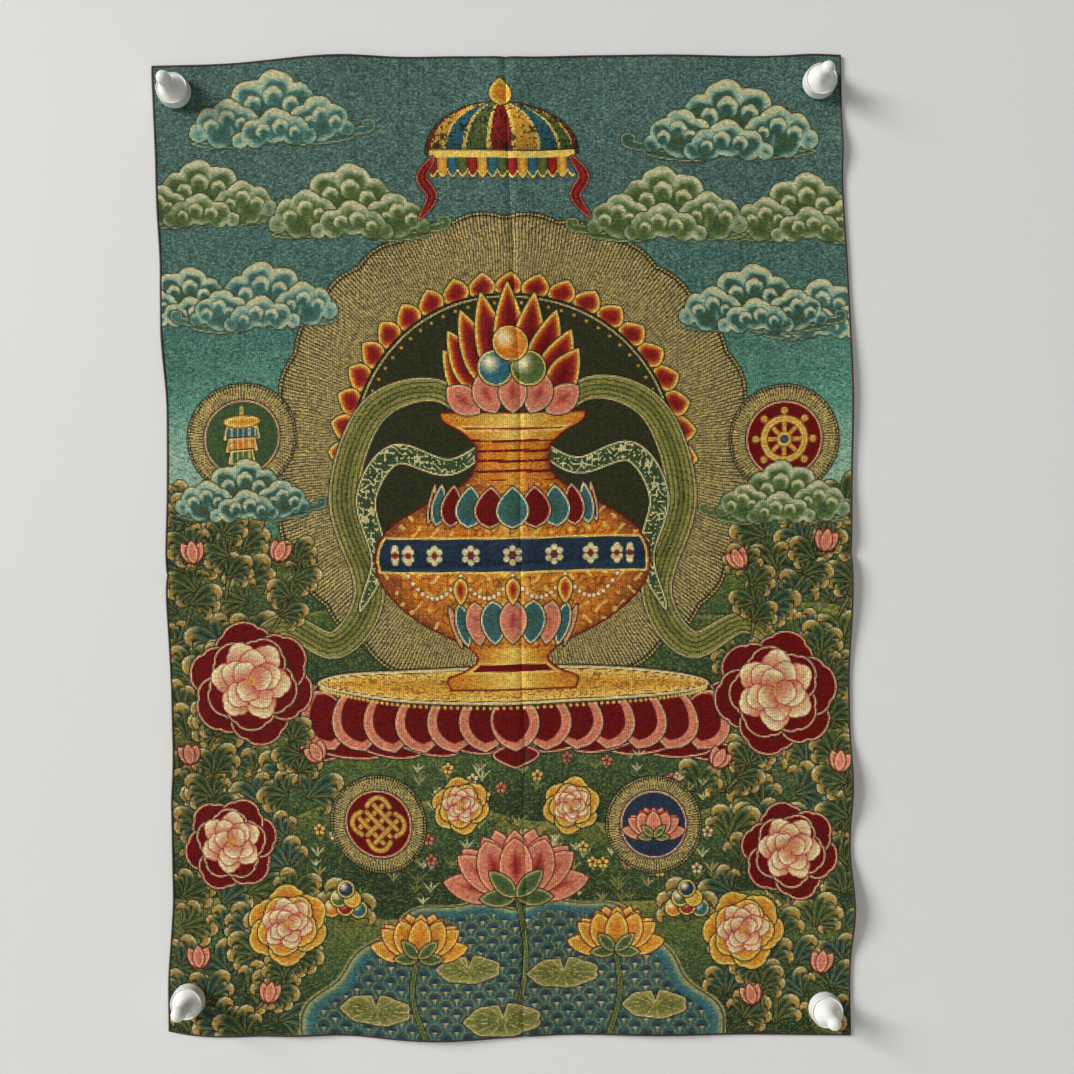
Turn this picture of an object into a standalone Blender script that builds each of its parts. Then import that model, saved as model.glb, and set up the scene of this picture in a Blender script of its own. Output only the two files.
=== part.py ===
"""A woven silk thangka sheet, pinned at its four corners by cone magnets.

The frame: +X runs to the right as one faces the picture, +Z is up, and the picture
faces -Y. The back of the sheet lies in the plane Y = 0 wherever it isn't lifted.
The origin is the middle of the sheet's top edge, in that plane.

The sheet is one thin solid. Its four sides wander as hand-cut, washed silk does, it
keeps the two creases of having been stored folded in quarters, and its free edges
lift a few millimetres in soft waves between the magnets.
"""

from collections import namedtuple
from math import pi

import bpy
import numpy as np

OBJECT_NAME = "woven_thangka_sheet"

MM = 0.001
TOUCHING_GAP = 0.3 * MM

SHEET_WIDTH_MM = 430
SHEET_HEIGHT_MM = 610
SHEET_THICKNESS = 1.0 * MM
SHEET_COLUMNS = 36
SHEET_ROWS = 52
# Above 1, the columns and rows crowd towards the two creases
CROWDING = 1.25

# How far the sheet lies flat round a magnet, and where it is free again
PRESSED_RADIUS = 18 * MM
FREE_RADIUS = 44 * MM

SidePoint = namedtuple("SidePoint", "down_mm x_mm")
EndPoint = namedtuple("EndPoint", "across_mm z_mm")
EdgeWave = namedtuple("EdgeWave", "side along_mm half_mm lift_mm reach_mm")
Swell = namedtuple("Swell", "across_mm down_mm radius_mm lift_mm")
Crease = namedtuple("Crease", "start end flank_mm other_flank_mm lift_mm")
Corner = namedtuple("Corner", "name x_mm z_mm")
Ring = namedtuple("Ring", "radius_mm height_mm")

# The two long sides, a point at each turn of the edge
LEFT_SIDE = (
    SidePoint(6, -222.5),
    SidePoint(68, -219.8),
    SidePoint(116, -217.5),
    SidePoint(164, -216.6),
    SidePoint(190, -214.2),
    SidePoint(263, -212.6),
    SidePoint(368, -211.2),
    SidePoint(398, -209.9),
    SidePoint(427, -207.6),
    SidePoint(466, -210.2),
    SidePoint(503, -208.0),
    SidePoint(548, -210.1),
    SidePoint(577, -211.9),
    SidePoint(609, -211.7),
)
RIGHT_SIDE = (
    SidePoint(-1, 207.4),
    SidePoint(38, 208.1),
    SidePoint(82, 209.0),
    SidePoint(132, 211.9),
    SidePoint(172, 213.8),
    SidePoint(213, 215.0),
    SidePoint(310, 213.8),
    SidePoint(340, 214.3),
    SidePoint(386, 212.9),
    SidePoint(450, 214.1),
    SidePoint(500, 213.6),
    SidePoint(530, 215.0),
    SidePoint(577, 213.3),
    SidePoint(611, 213.8),
)

# The two short ends, from left to right
TOP_END = (
    EndPoint(-222, -6.1),
    EndPoint(-174, -4.6),
    EndPoint(-149, -2.6),
    EndPoint(-104, 0.2),
    EndPoint(-69, -0.6),
    EndPoint(-30, -0.2),
    EndPoint(15, -1.3),
    EndPoint(51, 0.3),
    EndPoint(170, 0.4),
    EndPoint(191, 1.4),
    EndPoint(208, 0.8),
)
BOTTOM_END = (
    EndPoint(-212, -608.5),
    EndPoint(-199, -610.8),
    EndPoint(-142, -611.2),
    EndPoint(-110, -610.6),
    EndPoint(-69, -613.1),
    EndPoint(-19, -613.1),
    EndPoint(14, -611.2),
    EndPoint(95, -610.1),
    EndPoint(214, -610.9),
)

# Waves of the free edges: along is mm down a long side, or mm across an end
EDGE_WAVES = (
    EdgeWave("left", 96, 40, 2.0, 40),
    EdgeWave("left", 187, 34, 3.2, 55),
    EdgeWave("left", 318, 70, 1.6, 40),
    EdgeWave("left", 427, 34, 5.0, 60),
    EdgeWave("left", 503, 34, 4.2, 60),
    EdgeWave("right", 53, 26, 3.0, 34),
    EdgeWave("right", 205, 62, 2.2, 50),
    EdgeWave("right", 340, 48, 1.8, 40),
    EdgeWave("right", 455, 36, 5.0, 60),
    EdgeWave("right", 530, 38, 6.2, 70),
    EdgeWave("top", -112, 60, 2.4, 36),
    EdgeWave("top", 18, 46, 1.8, 30),
    EdgeWave("top", 112, 50, 1.4, 30),
    EdgeWave("bottom", -128, 34, 2.0, 34),
    EdgeWave("bottom", -44, 52, 3.6, 46),
    EdgeWave("bottom", 96, 60, 2.8, 40),
)

# Broad places where the silk stands slightly off its support
SWELLS = (
    Swell(-120, 150, 105, 1.0),
    Swell(105, 135, 120, 0.8),
    Swell(-95, 455, 120, 1.2),
    Swell(118, 470, 115, 1.4),
    Swell(20, 250, 90, 0.6),
)

# The creases dip between two raised flanks. start and end are where each one meets
# the two edges that it joins, as a share of that edge.
UPRIGHT_CREASE = Crease(0.513, 0.520, 4.5, 4.5, 0.7)
LEVEL_CREASE = Crease(0.528, 0.507, 10.0, 6.0, 1.1)

MAGNETS = (
    Corner("magnet_top_left", -207.6, -22.9),
    Corner("magnet_top_right", 193.6, -17.1),
    Corner("magnet_bottom_left", -198.7, -588.3),
    Corner("magnet_bottom_right", 197.3, -593.4),
)

# A magnet from the middle of its round tip down to the middle of its flat base
MAGNET_OUTLINE = (
    Ring(0.0, 25.5),
    Ring(1.8, 25.1),
    Ring(3.2, 24.0),
    Ring(4.05, 22.4),
    Ring(4.35, 20.5),
    Ring(4.2, 18.6),
    Ring(4.0, 17.0),
    Ring(4.15, 15.2),
    Ring(4.7, 12.9),
    Ring(5.7, 10.6),
    Ring(7.0, 8.9),
    Ring(8.3, 7.95),
    Ring(9.2, 7.5),
    Ring(9.6, 7.1),
    Ring(9.8, 6.4),
    Ring(10.0, 4.2),
    Ring(10.3, 1.1),
    Ring(9.9, 0.0),
    Ring(0.0, 0.0),
)
MAGNET_FACETS = 30

SILK_COLOUR = (0.10, 0.16, 0.11)
PLASTIC_COLOUR = (0.83, 0.83, 0.81)


def clear_scene():
    """Removes whatever the open file holds."""
    for old in list(bpy.data.objects):
        bpy.data.objects.remove(old, do_unlink=True)


def material(name, colour, roughness):
    """A plain finish of one colour."""
    made = bpy.data.materials.new(name)
    made.use_nodes = True
    shader = made.node_tree.nodes["Principled BSDF"]
    shader.inputs["Base Color"].default_value = (*colour, 1.0)
    shader.inputs["Roughness"].default_value = roughness
    shader.inputs["Metallic"].default_value = 0.0
    return made


def smooth_through(points, at):
    """A smooth curve through two-column points, read at the given places.

    Between two points it is the cubic that keeps the slope at each of them, which is
    found from that point's neighbours. Past the ends it stays level.
    """
    keys, values = np.array(points, dtype=float).T
    slopes = np.gradient(values, keys)
    at = np.clip(at, keys[0], keys[-1])
    low = np.clip(np.searchsorted(keys, at) - 1, 0, len(keys) - 2)
    span = keys[low + 1] - keys[low]
    f = (at - keys[low]) / span
    from_low = (2 * f**3 - 3 * f**2 + 1) * values[low] + (f**3 - 2 * f**2 + f) * span * slopes[low]
    to_high = (3 * f**2 - 2 * f**3) * values[low + 1] + (f**3 - f**2) * span * slopes[low + 1]
    return from_low + to_high


def ease(share):
    """0 below 0 and 1 above 1, with a smooth rise between them."""
    share = np.clip(share, 0.0, 1.0)
    return share * share * (3 - 2 * share)


def outline(across, down):
    """X and Z, in metres, of the place at these shares of the sheet's width and height.

    The long sides give X and the ends give Z. Between them both change evenly.
    """
    down_mm = SHEET_HEIGHT_MM * down
    left = smooth_through(LEFT_SIDE, down_mm)
    right = smooth_through(RIGHT_SIDE, down_mm)
    x_mm = left + (right - left) * across
    top = smooth_through(TOP_END, x_mm)
    bottom = smooth_through(BOTTOM_END, x_mm)
    z_mm = top + (bottom - top) * down
    return x_mm * MM, z_mm * MM


def edge_lift(x_mm, z_mm, across, down):
    """What the waves of the four edges add, in mm.

    Each wave is half a cosine along its edge, and fades as a square away from it.
    """
    inward = {
        "left": across * SHEET_WIDTH_MM,
        "right": (1 - across) * SHEET_WIDTH_MM,
        "top": down * SHEET_HEIGHT_MM,
        "bottom": (1 - down) * SHEET_HEIGHT_MM,
    }
    total = np.zeros_like(x_mm)
    for wave in EDGE_WAVES:
        along = -z_mm if wave.side in ("left", "right") else x_mm
        share = np.clip((along - wave.along_mm) / wave.half_mm, -1, 1)
        fade = np.clip(1 - inward[wave.side] / wave.reach_mm, 0, 1)
        total += wave.lift_mm * 0.5 * (1 + np.cos(pi * share)) * fade**2
    return total


def crease_lift(distance_mm, crease):
    """A dip between two flanks, in mm, from the signed distance to the fold line.

    Each flank rises to the crease's lift at its own distance and then dies away.
    """
    flank = np.where(distance_mm < 0, crease.flank_mm, crease.other_flank_mm)
    share = np.abs(distance_mm) / flank
    return crease.lift_mm * share * np.exp(1 - share)


def crease_place(crease, along):
    """Where the fold line lies, as a share of the sheet, at a share of its own run."""
    return crease.start + (crease.end - crease.start) * along


def lift(across, down):
    """How far the back of the sheet stands off the plane Y = 0, in metres."""
    x, z = outline(across, down)
    x_mm = x / MM
    z_mm = z / MM
    upright_mm = (across - crease_place(UPRIGHT_CREASE, down)) * SHEET_WIDTH_MM
    level_mm = (down - crease_place(LEVEL_CREASE, across)) * SHEET_HEIGHT_MM
    total = edge_lift(x_mm, z_mm, across, down)
    total += crease_lift(upright_mm, UPRIGHT_CREASE)
    total += crease_lift(level_mm, LEVEL_CREASE)
    for swell in SWELLS:
        away = np.hypot(x_mm - swell.across_mm, z_mm + swell.down_mm)
        total += swell.lift_mm * ease(1 - away / swell.radius_mm)
    for corner in MAGNETS:
        away = np.hypot(x_mm - corner.x_mm, z_mm - corner.z_mm) * MM
        total *= ease((away - PRESSED_RADIUS) / (FREE_RADIUS - PRESSED_RADIUS))
    return total * MM


def crowded(step, count, fold):
    """Share of the sheet at a grid line, with a line on the fold and more beside it."""
    half = count // 2
    share = (step - half) / half
    bent = np.abs(share) ** CROWDING
    return np.where(share < 0, fold - fold * bent, fold + (1 - fold) * bent)


def make_sheet(silk):
    """The one-piece sheet: a grid laid on the outline and the lift, then thickened."""
    bpy.ops.mesh.primitive_grid_add(x_subdivisions=SHEET_COLUMNS, y_subdivisions=SHEET_ROWS, size=1)
    sheet = bpy.context.object
    sheet.name = "cloth"
    sheet.data.name = "cloth"
    mesh = sheet.data
    flat = np.empty(len(mesh.vertices) * 3)
    mesh.vertices.foreach_get("co", flat)
    flat = flat.reshape(-1, 3)
    column = np.rint((flat[:, 0] + 0.5) * SHEET_COLUMNS)
    row = np.rint((0.5 - flat[:, 1]) * SHEET_ROWS)
    even_down = row / SHEET_ROWS
    across = crowded(column, SHEET_COLUMNS, crease_place(UPRIGHT_CREASE, even_down))
    down = crowded(row, SHEET_ROWS, crease_place(LEVEL_CREASE, across))
    x, z = outline(across, down)
    shaped = np.column_stack((x, -lift(across, down), z))
    mesh.vertices.foreach_set("co", shaped.ravel())
    mesh.update()
    thicken = sheet.modifiers.new("thickness", "SOLIDIFY")
    thicken.thickness = SHEET_THICKNESS
    thicken.offset = 1.0
    mesh.materials.append(silk)
    mesh.shade_smooth()
    return sheet


def magnet_mesh(plastic):
    """Half outline of a cone magnet, which each magnet object turns about its axis."""
    points = [(ring.radius_mm * MM, 0.0, ring.height_mm * MM) for ring in MAGNET_OUTLINE]
    edges = [(i, i + 1) for i in range(len(points) - 1)]
    mesh = bpy.data.meshes.new("magnet_outline")
    mesh.from_pydata(points, edges, [])
    mesh.materials.append(plastic)
    return mesh


def make_magnet(corner, mesh):
    """One cone magnet on the face of the sheet, its tip towards the viewer."""
    magnet = bpy.data.objects.new(corner.name, mesh)
    magnet.location = (corner.x_mm * MM, -SHEET_THICKNESS - TOUCHING_GAP, corner.z_mm * MM)
    magnet.rotation_euler = (pi / 2, 0, 0)
    turn = magnet.modifiers.new("turned", "SCREW")
    turn.axis = "Z"
    turn.angle = 2 * pi
    turn.steps = MAGNET_FACETS
    turn.render_steps = MAGNET_FACETS
    turn.use_merge_vertices = True
    turn.merge_threshold = 0.00005
    turn.use_smooth_shade = True
    return magnet


def build():
    """Makes the sheet and its four magnets in a collection named for the object."""
    clear_scene()
    holder = bpy.data.collections.new(OBJECT_NAME)
    bpy.context.scene.collection.children.link(holder)
    silk = material("woven_silk", SILK_COLOUR, 0.75)
    plastic = material("white_plastic", PLASTIC_COLOUR, 0.25)

    sheet = make_sheet(silk)
    for home in list(sheet.users_collection):
        home.objects.unlink(sheet)
    holder.objects.link(sheet)

    shared = magnet_mesh(plastic)
    for corner in MAGNETS:
        holder.objects.link(make_magnet(corner, shared))


build()
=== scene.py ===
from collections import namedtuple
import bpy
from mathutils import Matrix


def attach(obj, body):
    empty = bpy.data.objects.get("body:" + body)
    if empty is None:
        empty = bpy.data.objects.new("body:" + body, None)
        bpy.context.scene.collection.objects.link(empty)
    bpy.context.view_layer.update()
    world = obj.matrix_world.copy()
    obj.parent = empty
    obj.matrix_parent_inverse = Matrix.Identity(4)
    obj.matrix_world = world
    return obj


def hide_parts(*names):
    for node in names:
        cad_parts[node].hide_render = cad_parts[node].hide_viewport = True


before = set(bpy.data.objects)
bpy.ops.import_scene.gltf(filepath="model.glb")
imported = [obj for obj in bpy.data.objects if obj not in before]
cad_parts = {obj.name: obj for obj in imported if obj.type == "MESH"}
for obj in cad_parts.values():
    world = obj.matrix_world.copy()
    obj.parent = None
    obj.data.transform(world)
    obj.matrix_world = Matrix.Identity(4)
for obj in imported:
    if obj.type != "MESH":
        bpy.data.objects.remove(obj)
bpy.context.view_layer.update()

# A woven silk thangka sheet, pinned flat by four cone magnets.
# +X runs to the right as one faces the picture, +Z is up and the picture faces -Y.
# The origin is the middle of the sheet's top edge, in the plane that its back lies in.

from types import SimpleNamespace

import bmesh
import bpy
import numpy as np
from mathutils import Vector

MM = 0.001

# The sheet, as the solids have it
SHEET_WIDTH_MM = 430
SHEET_HEIGHT_MM = 610
SHEET_THICKNESS_MM = 1.0
TOUCHING_GAP_MM = 0.3

# From a magnet's middle, how far the cloth lies flat and from where it is free, and the
# same for the relief of its threads
CLOTH_PRESSED_MM = (18, 44)
RELIEF_PRESSED_MM = (11, 16)

# The woven face's cells, those of the base cloth, and how far that lies under the face
CHART_COLUMNS = 524
CHART_ROWS = 748
CELL_MM = 0.82
BASE_COLUMNS = 134
BASE_ROWS = 192
FACE_ABOVE_BASE_MM = 0.35

Crease = namedtuple("Crease", "start end flank_mm other_flank_mm lift_mm")
Corner = namedtuple("Corner", "name x_mm z_mm")

# Along the sides, the way down and X. Along the ends, X and Z. All in mm
LEFT_SIDE = (
    (6, -222.5), (68, -219.8), (116, -217.5), (164, -216.6), (190, -214.2), (263, -212.6), (368, -211.2),
    (398, -209.9), (427, -207.6), (466, -210.2), (503, -208.0), (548, -210.1), (577, -211.9), (609, -211.7),
)
RIGHT_SIDE = (
    (-1, 207.4), (38, 208.1), (82, 209.0), (132, 211.9), (172, 213.8), (213, 215.0), (310, 213.8),
    (340, 214.3), (386, 212.9), (450, 214.1), (500, 213.6), (530, 215.0), (577, 213.3), (611, 213.8),
)
TOP_END = (
    (-222, -6.1), (-174, -4.6), (-149, -2.6), (-104, 0.2), (-69, -0.6), (-30, -0.2), (15, -1.3), (51, 0.3),
    (170, 0.4), (191, 1.4), (208, 0.8),
)
BOTTOM_END = (
    (-212, -608.5), (-199, -610.8), (-142, -611.2), (-110, -610.6), (-69, -613.1), (-19, -613.1),
    (14, -611.2), (95, -610.1), (214, -610.9),
)
# Along the edge, half length, lift and reach of the waves of each edge, in mm
EDGE_WAVES = {
    "left": (
        (96, 40, 2.0, 40), (187, 34, 3.2, 55), (318, 70, 1.6, 40), (427, 34, 5.0, 60), (503, 34, 4.2, 60),
    ),
    "right": (
        (53, 26, 3.0, 34), (205, 62, 2.2, 50), (340, 48, 1.8, 40), (455, 36, 5.0, 60), (530, 38, 6.2, 70),
    ),
    "top": ((-112, 60, 2.4, 36), (18, 46, 1.8, 30), (112, 50, 1.4, 30)),
    "bottom": ((-128, 34, 2.0, 34), (-44, 52, 3.6, 46), (96, 60, 2.8, 40)),
}
# Across, down, radius and lift of each broad swell, in mm
SWELLS = (
    (-120, 150, 105, 1.0), (105, 135, 120, 0.8), (-95, 455, 120, 1.2),
    (118, 470, 115, 1.4), (20, 250, 90, 0.6),
)
UPRIGHT_CREASE = Crease(0.513, 0.520, 6.0, 6.0, 1.0)
LEVEL_CREASE = Crease(0.528, 0.507, 15.0, 12.0, 2.8)
MAGNETS = (
    Corner("magnet_top_left", -207.6, -22.9),
    Corner("magnet_top_right", 193.6, -17.1),
    Corner("magnet_bottom_left", -198.7, -588.3),
    Corner("magnet_bottom_right", 197.3, -593.4),
)
MAGNET_RINGS = 46
MAGNET_SECTORS = 64
# From the tip to the edge of the foot, the radius and the height, in mm
MAGNET_OUTLINE = (
    (0.0, 25.5), (1.8, 25.1), (3.2, 24.0), (4.05, 22.4), (4.35, 20.5), (4.2, 18.6), (4.0, 17.0), (4.15, 15.2),
    (4.6, 12.9), (5.45, 10.6), (6.8, 8.7), (8.2, 7.5), (8.75, 7.1), (9.0, 7.15), (9.15, 7.5), (9.45, 7.6),
    (9.7, 7.3), (9.8, 6.4), (10.0, 4.2), (10.3, 1.1), (9.9, 0.0),
)


def smooth_through(points, at):
    """A smooth curve through two-column points, read at the given places.

    Between two points it is the cubic that keeps the slope at each of them, which is
    found from that point's neighbours. Past the ends it stays level.
    """
    keys, values = np.array(points, dtype=float).T
    slopes = np.gradient(values, keys)
    at = np.clip(at, keys[0], keys[-1])
    low = np.clip(np.searchsorted(keys, at) - 1, 0, len(keys) - 2)
    span = keys[low + 1] - keys[low]
    f = (at - keys[low]) / span
    from_low = (2 * f**3 - 3 * f**2 + 1) * values[low] + (f**3 - 2 * f**2 + f) * span * slopes[low]
    to_high = (3 * f**2 - 2 * f**3) * values[low + 1] + (f**3 - f**2) * span * slopes[low + 1]
    return from_low + to_high


def ease(share):
    """0 below 0 and 1 above 1, with a smooth rise between them."""
    share = np.clip(share, 0.0, 1.0)
    return share * share * (3 - 2 * share)


def outline(across, down):
    """X and Z, in mm, of the place at these shares of the sheet's width and height.

    The long sides give X and the ends give Z. Between them both change evenly.
    """
    down_mm = SHEET_HEIGHT_MM * down
    left = smooth_through(LEFT_SIDE, down_mm)
    right = smooth_through(RIGHT_SIDE, down_mm)
    x_mm = left + (right - left) * across
    top = smooth_through(TOP_END, x_mm)
    bottom = smooth_through(BOTTOM_END, x_mm)
    return x_mm, top + (bottom - top) * down


def edge_lift(x_mm, z_mm, across, down):
    """What the waves of the four edges add, in mm.

    Each wave is half a cosine along its edge, and fades as a square away from it.
    """
    inward = {
        "left": across * SHEET_WIDTH_MM,
        "right": (1 - across) * SHEET_WIDTH_MM,
        "top": down * SHEET_HEIGHT_MM,
        "bottom": (1 - down) * SHEET_HEIGHT_MM,
    }
    total = np.zeros_like(x_mm)
    for side, waves in EDGE_WAVES.items():
        along = -z_mm if side in ("left", "right") else x_mm
        for middle_mm, half_mm, lift_mm, reach_mm in waves:
            share = np.clip((along - middle_mm) / half_mm, -1, 1)
            fade = np.clip(1 - inward[side] / reach_mm, 0, 1)
            total += lift_mm * 0.5 * (1 + np.cos(np.pi * share)) * fade**2
    return total


def crease_lift(distance_mm, crease):
    """A dip between two flanks, in mm, from the signed distance to the fold line.

    Each flank rises to the crease's lift at its own distance and then dies away.
    """
    flank = np.where(distance_mm < 0, crease.flank_mm, crease.other_flank_mm)
    share = np.abs(distance_mm) / flank
    return crease.lift_mm * share * np.exp(1 - share)


def crease_place(crease, along):
    """Where the fold line lies, as a share of the sheet, at a share of its own run."""
    return crease.start + (crease.end - crease.start) * along


def pressed(x_mm, z_mm, flat_mm, free_mm):
    """0 where a magnet holds the cloth down, easing to 1 between two distances from it."""
    free = np.ones_like(x_mm)
    for corner in MAGNETS:
        away = np.hypot(x_mm - corner.x_mm, z_mm - corner.z_mm)
        free *= ease((away - flat_mm) / (free_mm - flat_mm))
    return free


def lift(across, down):
    """How far the back of the sheet stands off the plane Y = 0, in mm."""
    x_mm, z_mm = outline(across, down)
    upright_mm = (across - crease_place(UPRIGHT_CREASE, down)) * SHEET_WIDTH_MM
    level_mm = (down - crease_place(LEVEL_CREASE, across)) * SHEET_HEIGHT_MM
    total = edge_lift(x_mm, z_mm, across, down)
    total += crease_lift(upright_mm, UPRIGHT_CREASE)
    total += crease_lift(level_mm, LEVEL_CREASE)
    for across_mm, down_mm, radius_mm, lift_mm in SWELLS:
        away = np.hypot(x_mm - across_mm, z_mm + down_mm)
        total += lift_mm * ease(1 - away / radius_mm)
    return total * pressed(x_mm, z_mm, *CLOTH_PRESSED_MM)


def folded_lines(columns, rows):
    """The shares across and down of a grid's lines, with a line on each crease.

    On either side of a crease the lines are evenly spaced.
    """
    step_across = np.linspace(0, 2, columns + 1)[None, :]
    step_down = np.linspace(0, 2, rows + 1)[:, None]
    fold = crease_place(UPRIGHT_CREASE, step_down / 2)
    across = np.where(step_across < 1, fold * step_across, fold + (1 - fold) * (step_across - 1))
    fold = crease_place(LEVEL_CREASE, across)
    down = np.where(step_down < 1, fold * step_down, fold + (1 - fold) * (step_down - 1))
    return across, down


# Dyed threads, as sRGB
THREADS = {
    "ink": "#1b1a12", "night": "#2a2d18", "pine": "#2b3822", "fern": "#3b4e2e", "leaf": "#505f2f",
    "moss": "#62652f", "lime": "#807c3e", "sage": "#7b8a68", "teal": "#36554a", "dusk": "#47615a",
    "sea": "#41655a", "turquoise": "#50806c", "mist": "#86a48c", "navy": "#22303f", "azure": "#2f5a62",
    "khaki": "#827546", "straw": "#a89660", "amber": "#a07d3a", "gold": "#c59234", "lemon": "#dbb95c",
    "pearl": "#b9b389", "cream": "#d2c48c", "white": "#dfd1a2", "orange": "#be7022", "rust": "#7a4020",
    "maroon": "#5f0c0a", "crimson": "#84201a", "rose": "#bf7256", "blush": "#d3a07a", "bark": "#33271a",
}

# Threads by the depth inside an outline, in mm
MAROON_PETAL = ((0, "blush"), (0.8, "blush"), (1.3, "maroon"))
ROSE_PETAL = ((0, "blush"), (0.8, "blush"), (1.5, "rose"), (5, "rose"), (10, "crimson"), (30, "maroon"))
CREAM_PETAL = ((0, "white"), (3, "cream"), (9, "blush"))
THRONE_PETAL = ((0, "blush"), (0.8, "blush"), (1.4, "rose"), (4, "rose"), (9, "blush"))
GOLD_WORK = ((0, "lemon"), (0.9, "lemon"), (1.7, "gold"), (5, "orange"), (9, "gold"))
GOLD_PETAL = ((0, "lemon"), (0.8, "lemon"), (1.5, "gold"), (6, "orange"), (14, "rust"))
GOLD_FLAT = ((0, "lemon"), (1.2, "gold"))
TEAL_PETAL = ((0, "cream"), (0.8, "cream"), (1.3, "azure"), (5, "teal"), (30, "navy"))
FLAME = ((0, "lemon"), (0.9, "lemon"), (1.7, "orange"), (4, "crimson"), (9, "maroon"))
GREEN_LEAF = ((0, "straw"), (0.8, "straw"), (1.3, "leaf"), (4, "fern"), (12, "pine"))
LILY_PAD = ((0, "cream"), (0.8, "straw"), (1.3, "lime"), (5, "moss"), (16, "leaf"))
SCARF_BANDS = ((0, "cream"), (0.7, "straw"), (1.3, "lime"), (4, "lime"), (9, "moss"))
BROCADE_BANDS = ((0, "cream"), (0.7, "cream"), (1.2, "fern"), (9, "pine"))

# How gilt lines and the gilt emblems are woven
GILT = {"line": "rust", "gold": 0.8}


def brightness(code):
    """An sRGB hex code as three shares of full brightness."""
    return np.array([int(code[i : i + 2], 16) / 255 for i in (1, 3, 5)])


def dye(name):
    """A thread's colour, as three shares of full brightness."""
    return brightness(THREADS[name])


def blank_chart(u, v):
    """The chart of woven cells: where each lies on the flat sheet, in mm, and its thread."""
    count = len(u)
    return SimpleNamespace(
        u=u,
        v=v,
        colour=np.zeros((count, 3)),
        gold=np.zeros(count),
        raised=np.zeros(count),
        noise=np.random.default_rng(7).random(count),
    )


def near(chart, at, reach):
    """The cells within reach of a point, each way, and how far they lie from it."""
    across = chart.u - at[0]
    up = chart.v - at[1]
    cells = np.nonzero((np.abs(across) < reach) & (np.abs(up) < reach))[0]
    return cells, across[cells], up[cells]


def weave_in(chart, cells, cover, colour, gold=0.0, raised=0.0):
    """Lays thread on cells: a cover of 1 hides what was there, 0 leaves it alone."""
    cover = np.clip(cover, 0, 1)
    chart.colour[cells] += (colour - chart.colour[cells]) * cover[:, None]
    chart.gold[cells] += (gold - chart.gold[cells]) * cover
    chart.raised[cells] += (raised - chart.raised[cells]) * cover


def lay(chart, cells, depth, colour, line="ink", width=0.7, gold=0.0, raised=0.12):
    """Weaves a form from the depth of each cell inside it, with a line round it."""
    if line:
        weave_in(chart, cells, 0.5 + (depth + width) / CELL_MM, dye(line), 0.0, raised * 0.3)
    weave_in(chart, cells, 0.5 + depth / CELL_MM, colour, gold, raised)


def tint(colour, share, thread):
    """Mixes a share of another thread into a colour."""
    return colour + (dye(thread) - colour) * np.clip(share, 0, 1)[:, None]


def banded(depth, bands):
    """The colour at a depth, read between the rows of a table of depths and threads."""
    depths = [row[0] for row in bands]
    threads = np.array([dye(row[1]) for row in bands])
    return np.stack([np.interp(depth, depths, channel) for channel in threads.T], axis=-1)


def squiggle(x, y, pitch):
    """A wandering field: the sum of two sines, each bent by a sine of the other way.
    It is near zero along fine closed squiggles about a pitch apart."""
    p = x / pitch * np.pi
    q = y / pitch * np.pi
    return np.sin(p + 1.7 * np.sin(0.71 * q + 0.4)) + np.sin(q * 1.1 + 1.6 * np.sin(0.83 * p + 1.3))


def turned(points, degrees):
    """Points turned about the origin, anticlockwise."""
    angle = np.radians(degrees)
    cos, sin = np.cos(angle), np.sin(angle)
    x, y = np.asarray(points, float).T
    return np.column_stack((x * cos - y * sin, x * sin + y * cos))


def out_from(at, reach, degrees):
    """The place at a reach from another, in the direction of a turn from straight up."""
    return np.add(at, turned([(0, reach)], degrees)[0])


def outermost_first(shares):
    """Places from -1 to 1, from the ends to the middle, as the middle lies on top."""
    return sorted(shares, key=lambda share: -abs(share))


def curve(points, steps=6):
    """A smooth line through points: cubics whose slope at each point is half the way
    from the point before it to the one after it."""
    p = np.asarray(points, float)
    held = np.vstack((2 * p[0] - p[1], p, 2 * p[-1] - p[-2]))[:, None, :]
    before, start, end, after = held[:-3], held[1:-2], held[2:-1], held[3:]
    t = (np.arange(steps) / steps)[None, :, None]
    line = 0.5 * (
        2 * start
        + (end - before) * t
        + (2 * before - 5 * start + 4 * end - after) * t**2
        + (3 * start - before - 3 * end + after) * t**3
    )
    return np.vstack((line.reshape(-1, 2), p[-1]))


def inside(x, y, outline):
    """How deep places lie inside a closed outline, in mm, negative outside it.

    It is the least distance to the outline's steps. A place is inside if a level line
    from it crosses the outline an odd number of times.
    """
    nearest = np.full(x.shape, 1e9)
    odd = np.zeros(x.shape, bool)
    for (ax, ay), (bx, by) in zip(outline, np.roll(outline, -1, 0)):
        dx, dy = bx - ax, by - ay
        share = np.clip(((x - ax) * dx + (y - ay) * dy) / (dx * dx + dy * dy + 1e-9), 0, 1)
        nearest = np.minimum(nearest, (x - ax - share * dx) ** 2 + (y - ay - share * dy) ** 2)
        crosses = (ay > y) != (by > y)
        odd ^= crosses & (x < ax + dx * (y - ay) / (dy if abs(dy) > 1e-9 else 1e-9))
    return np.where(odd, 1, -1) * np.sqrt(nearest)


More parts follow.
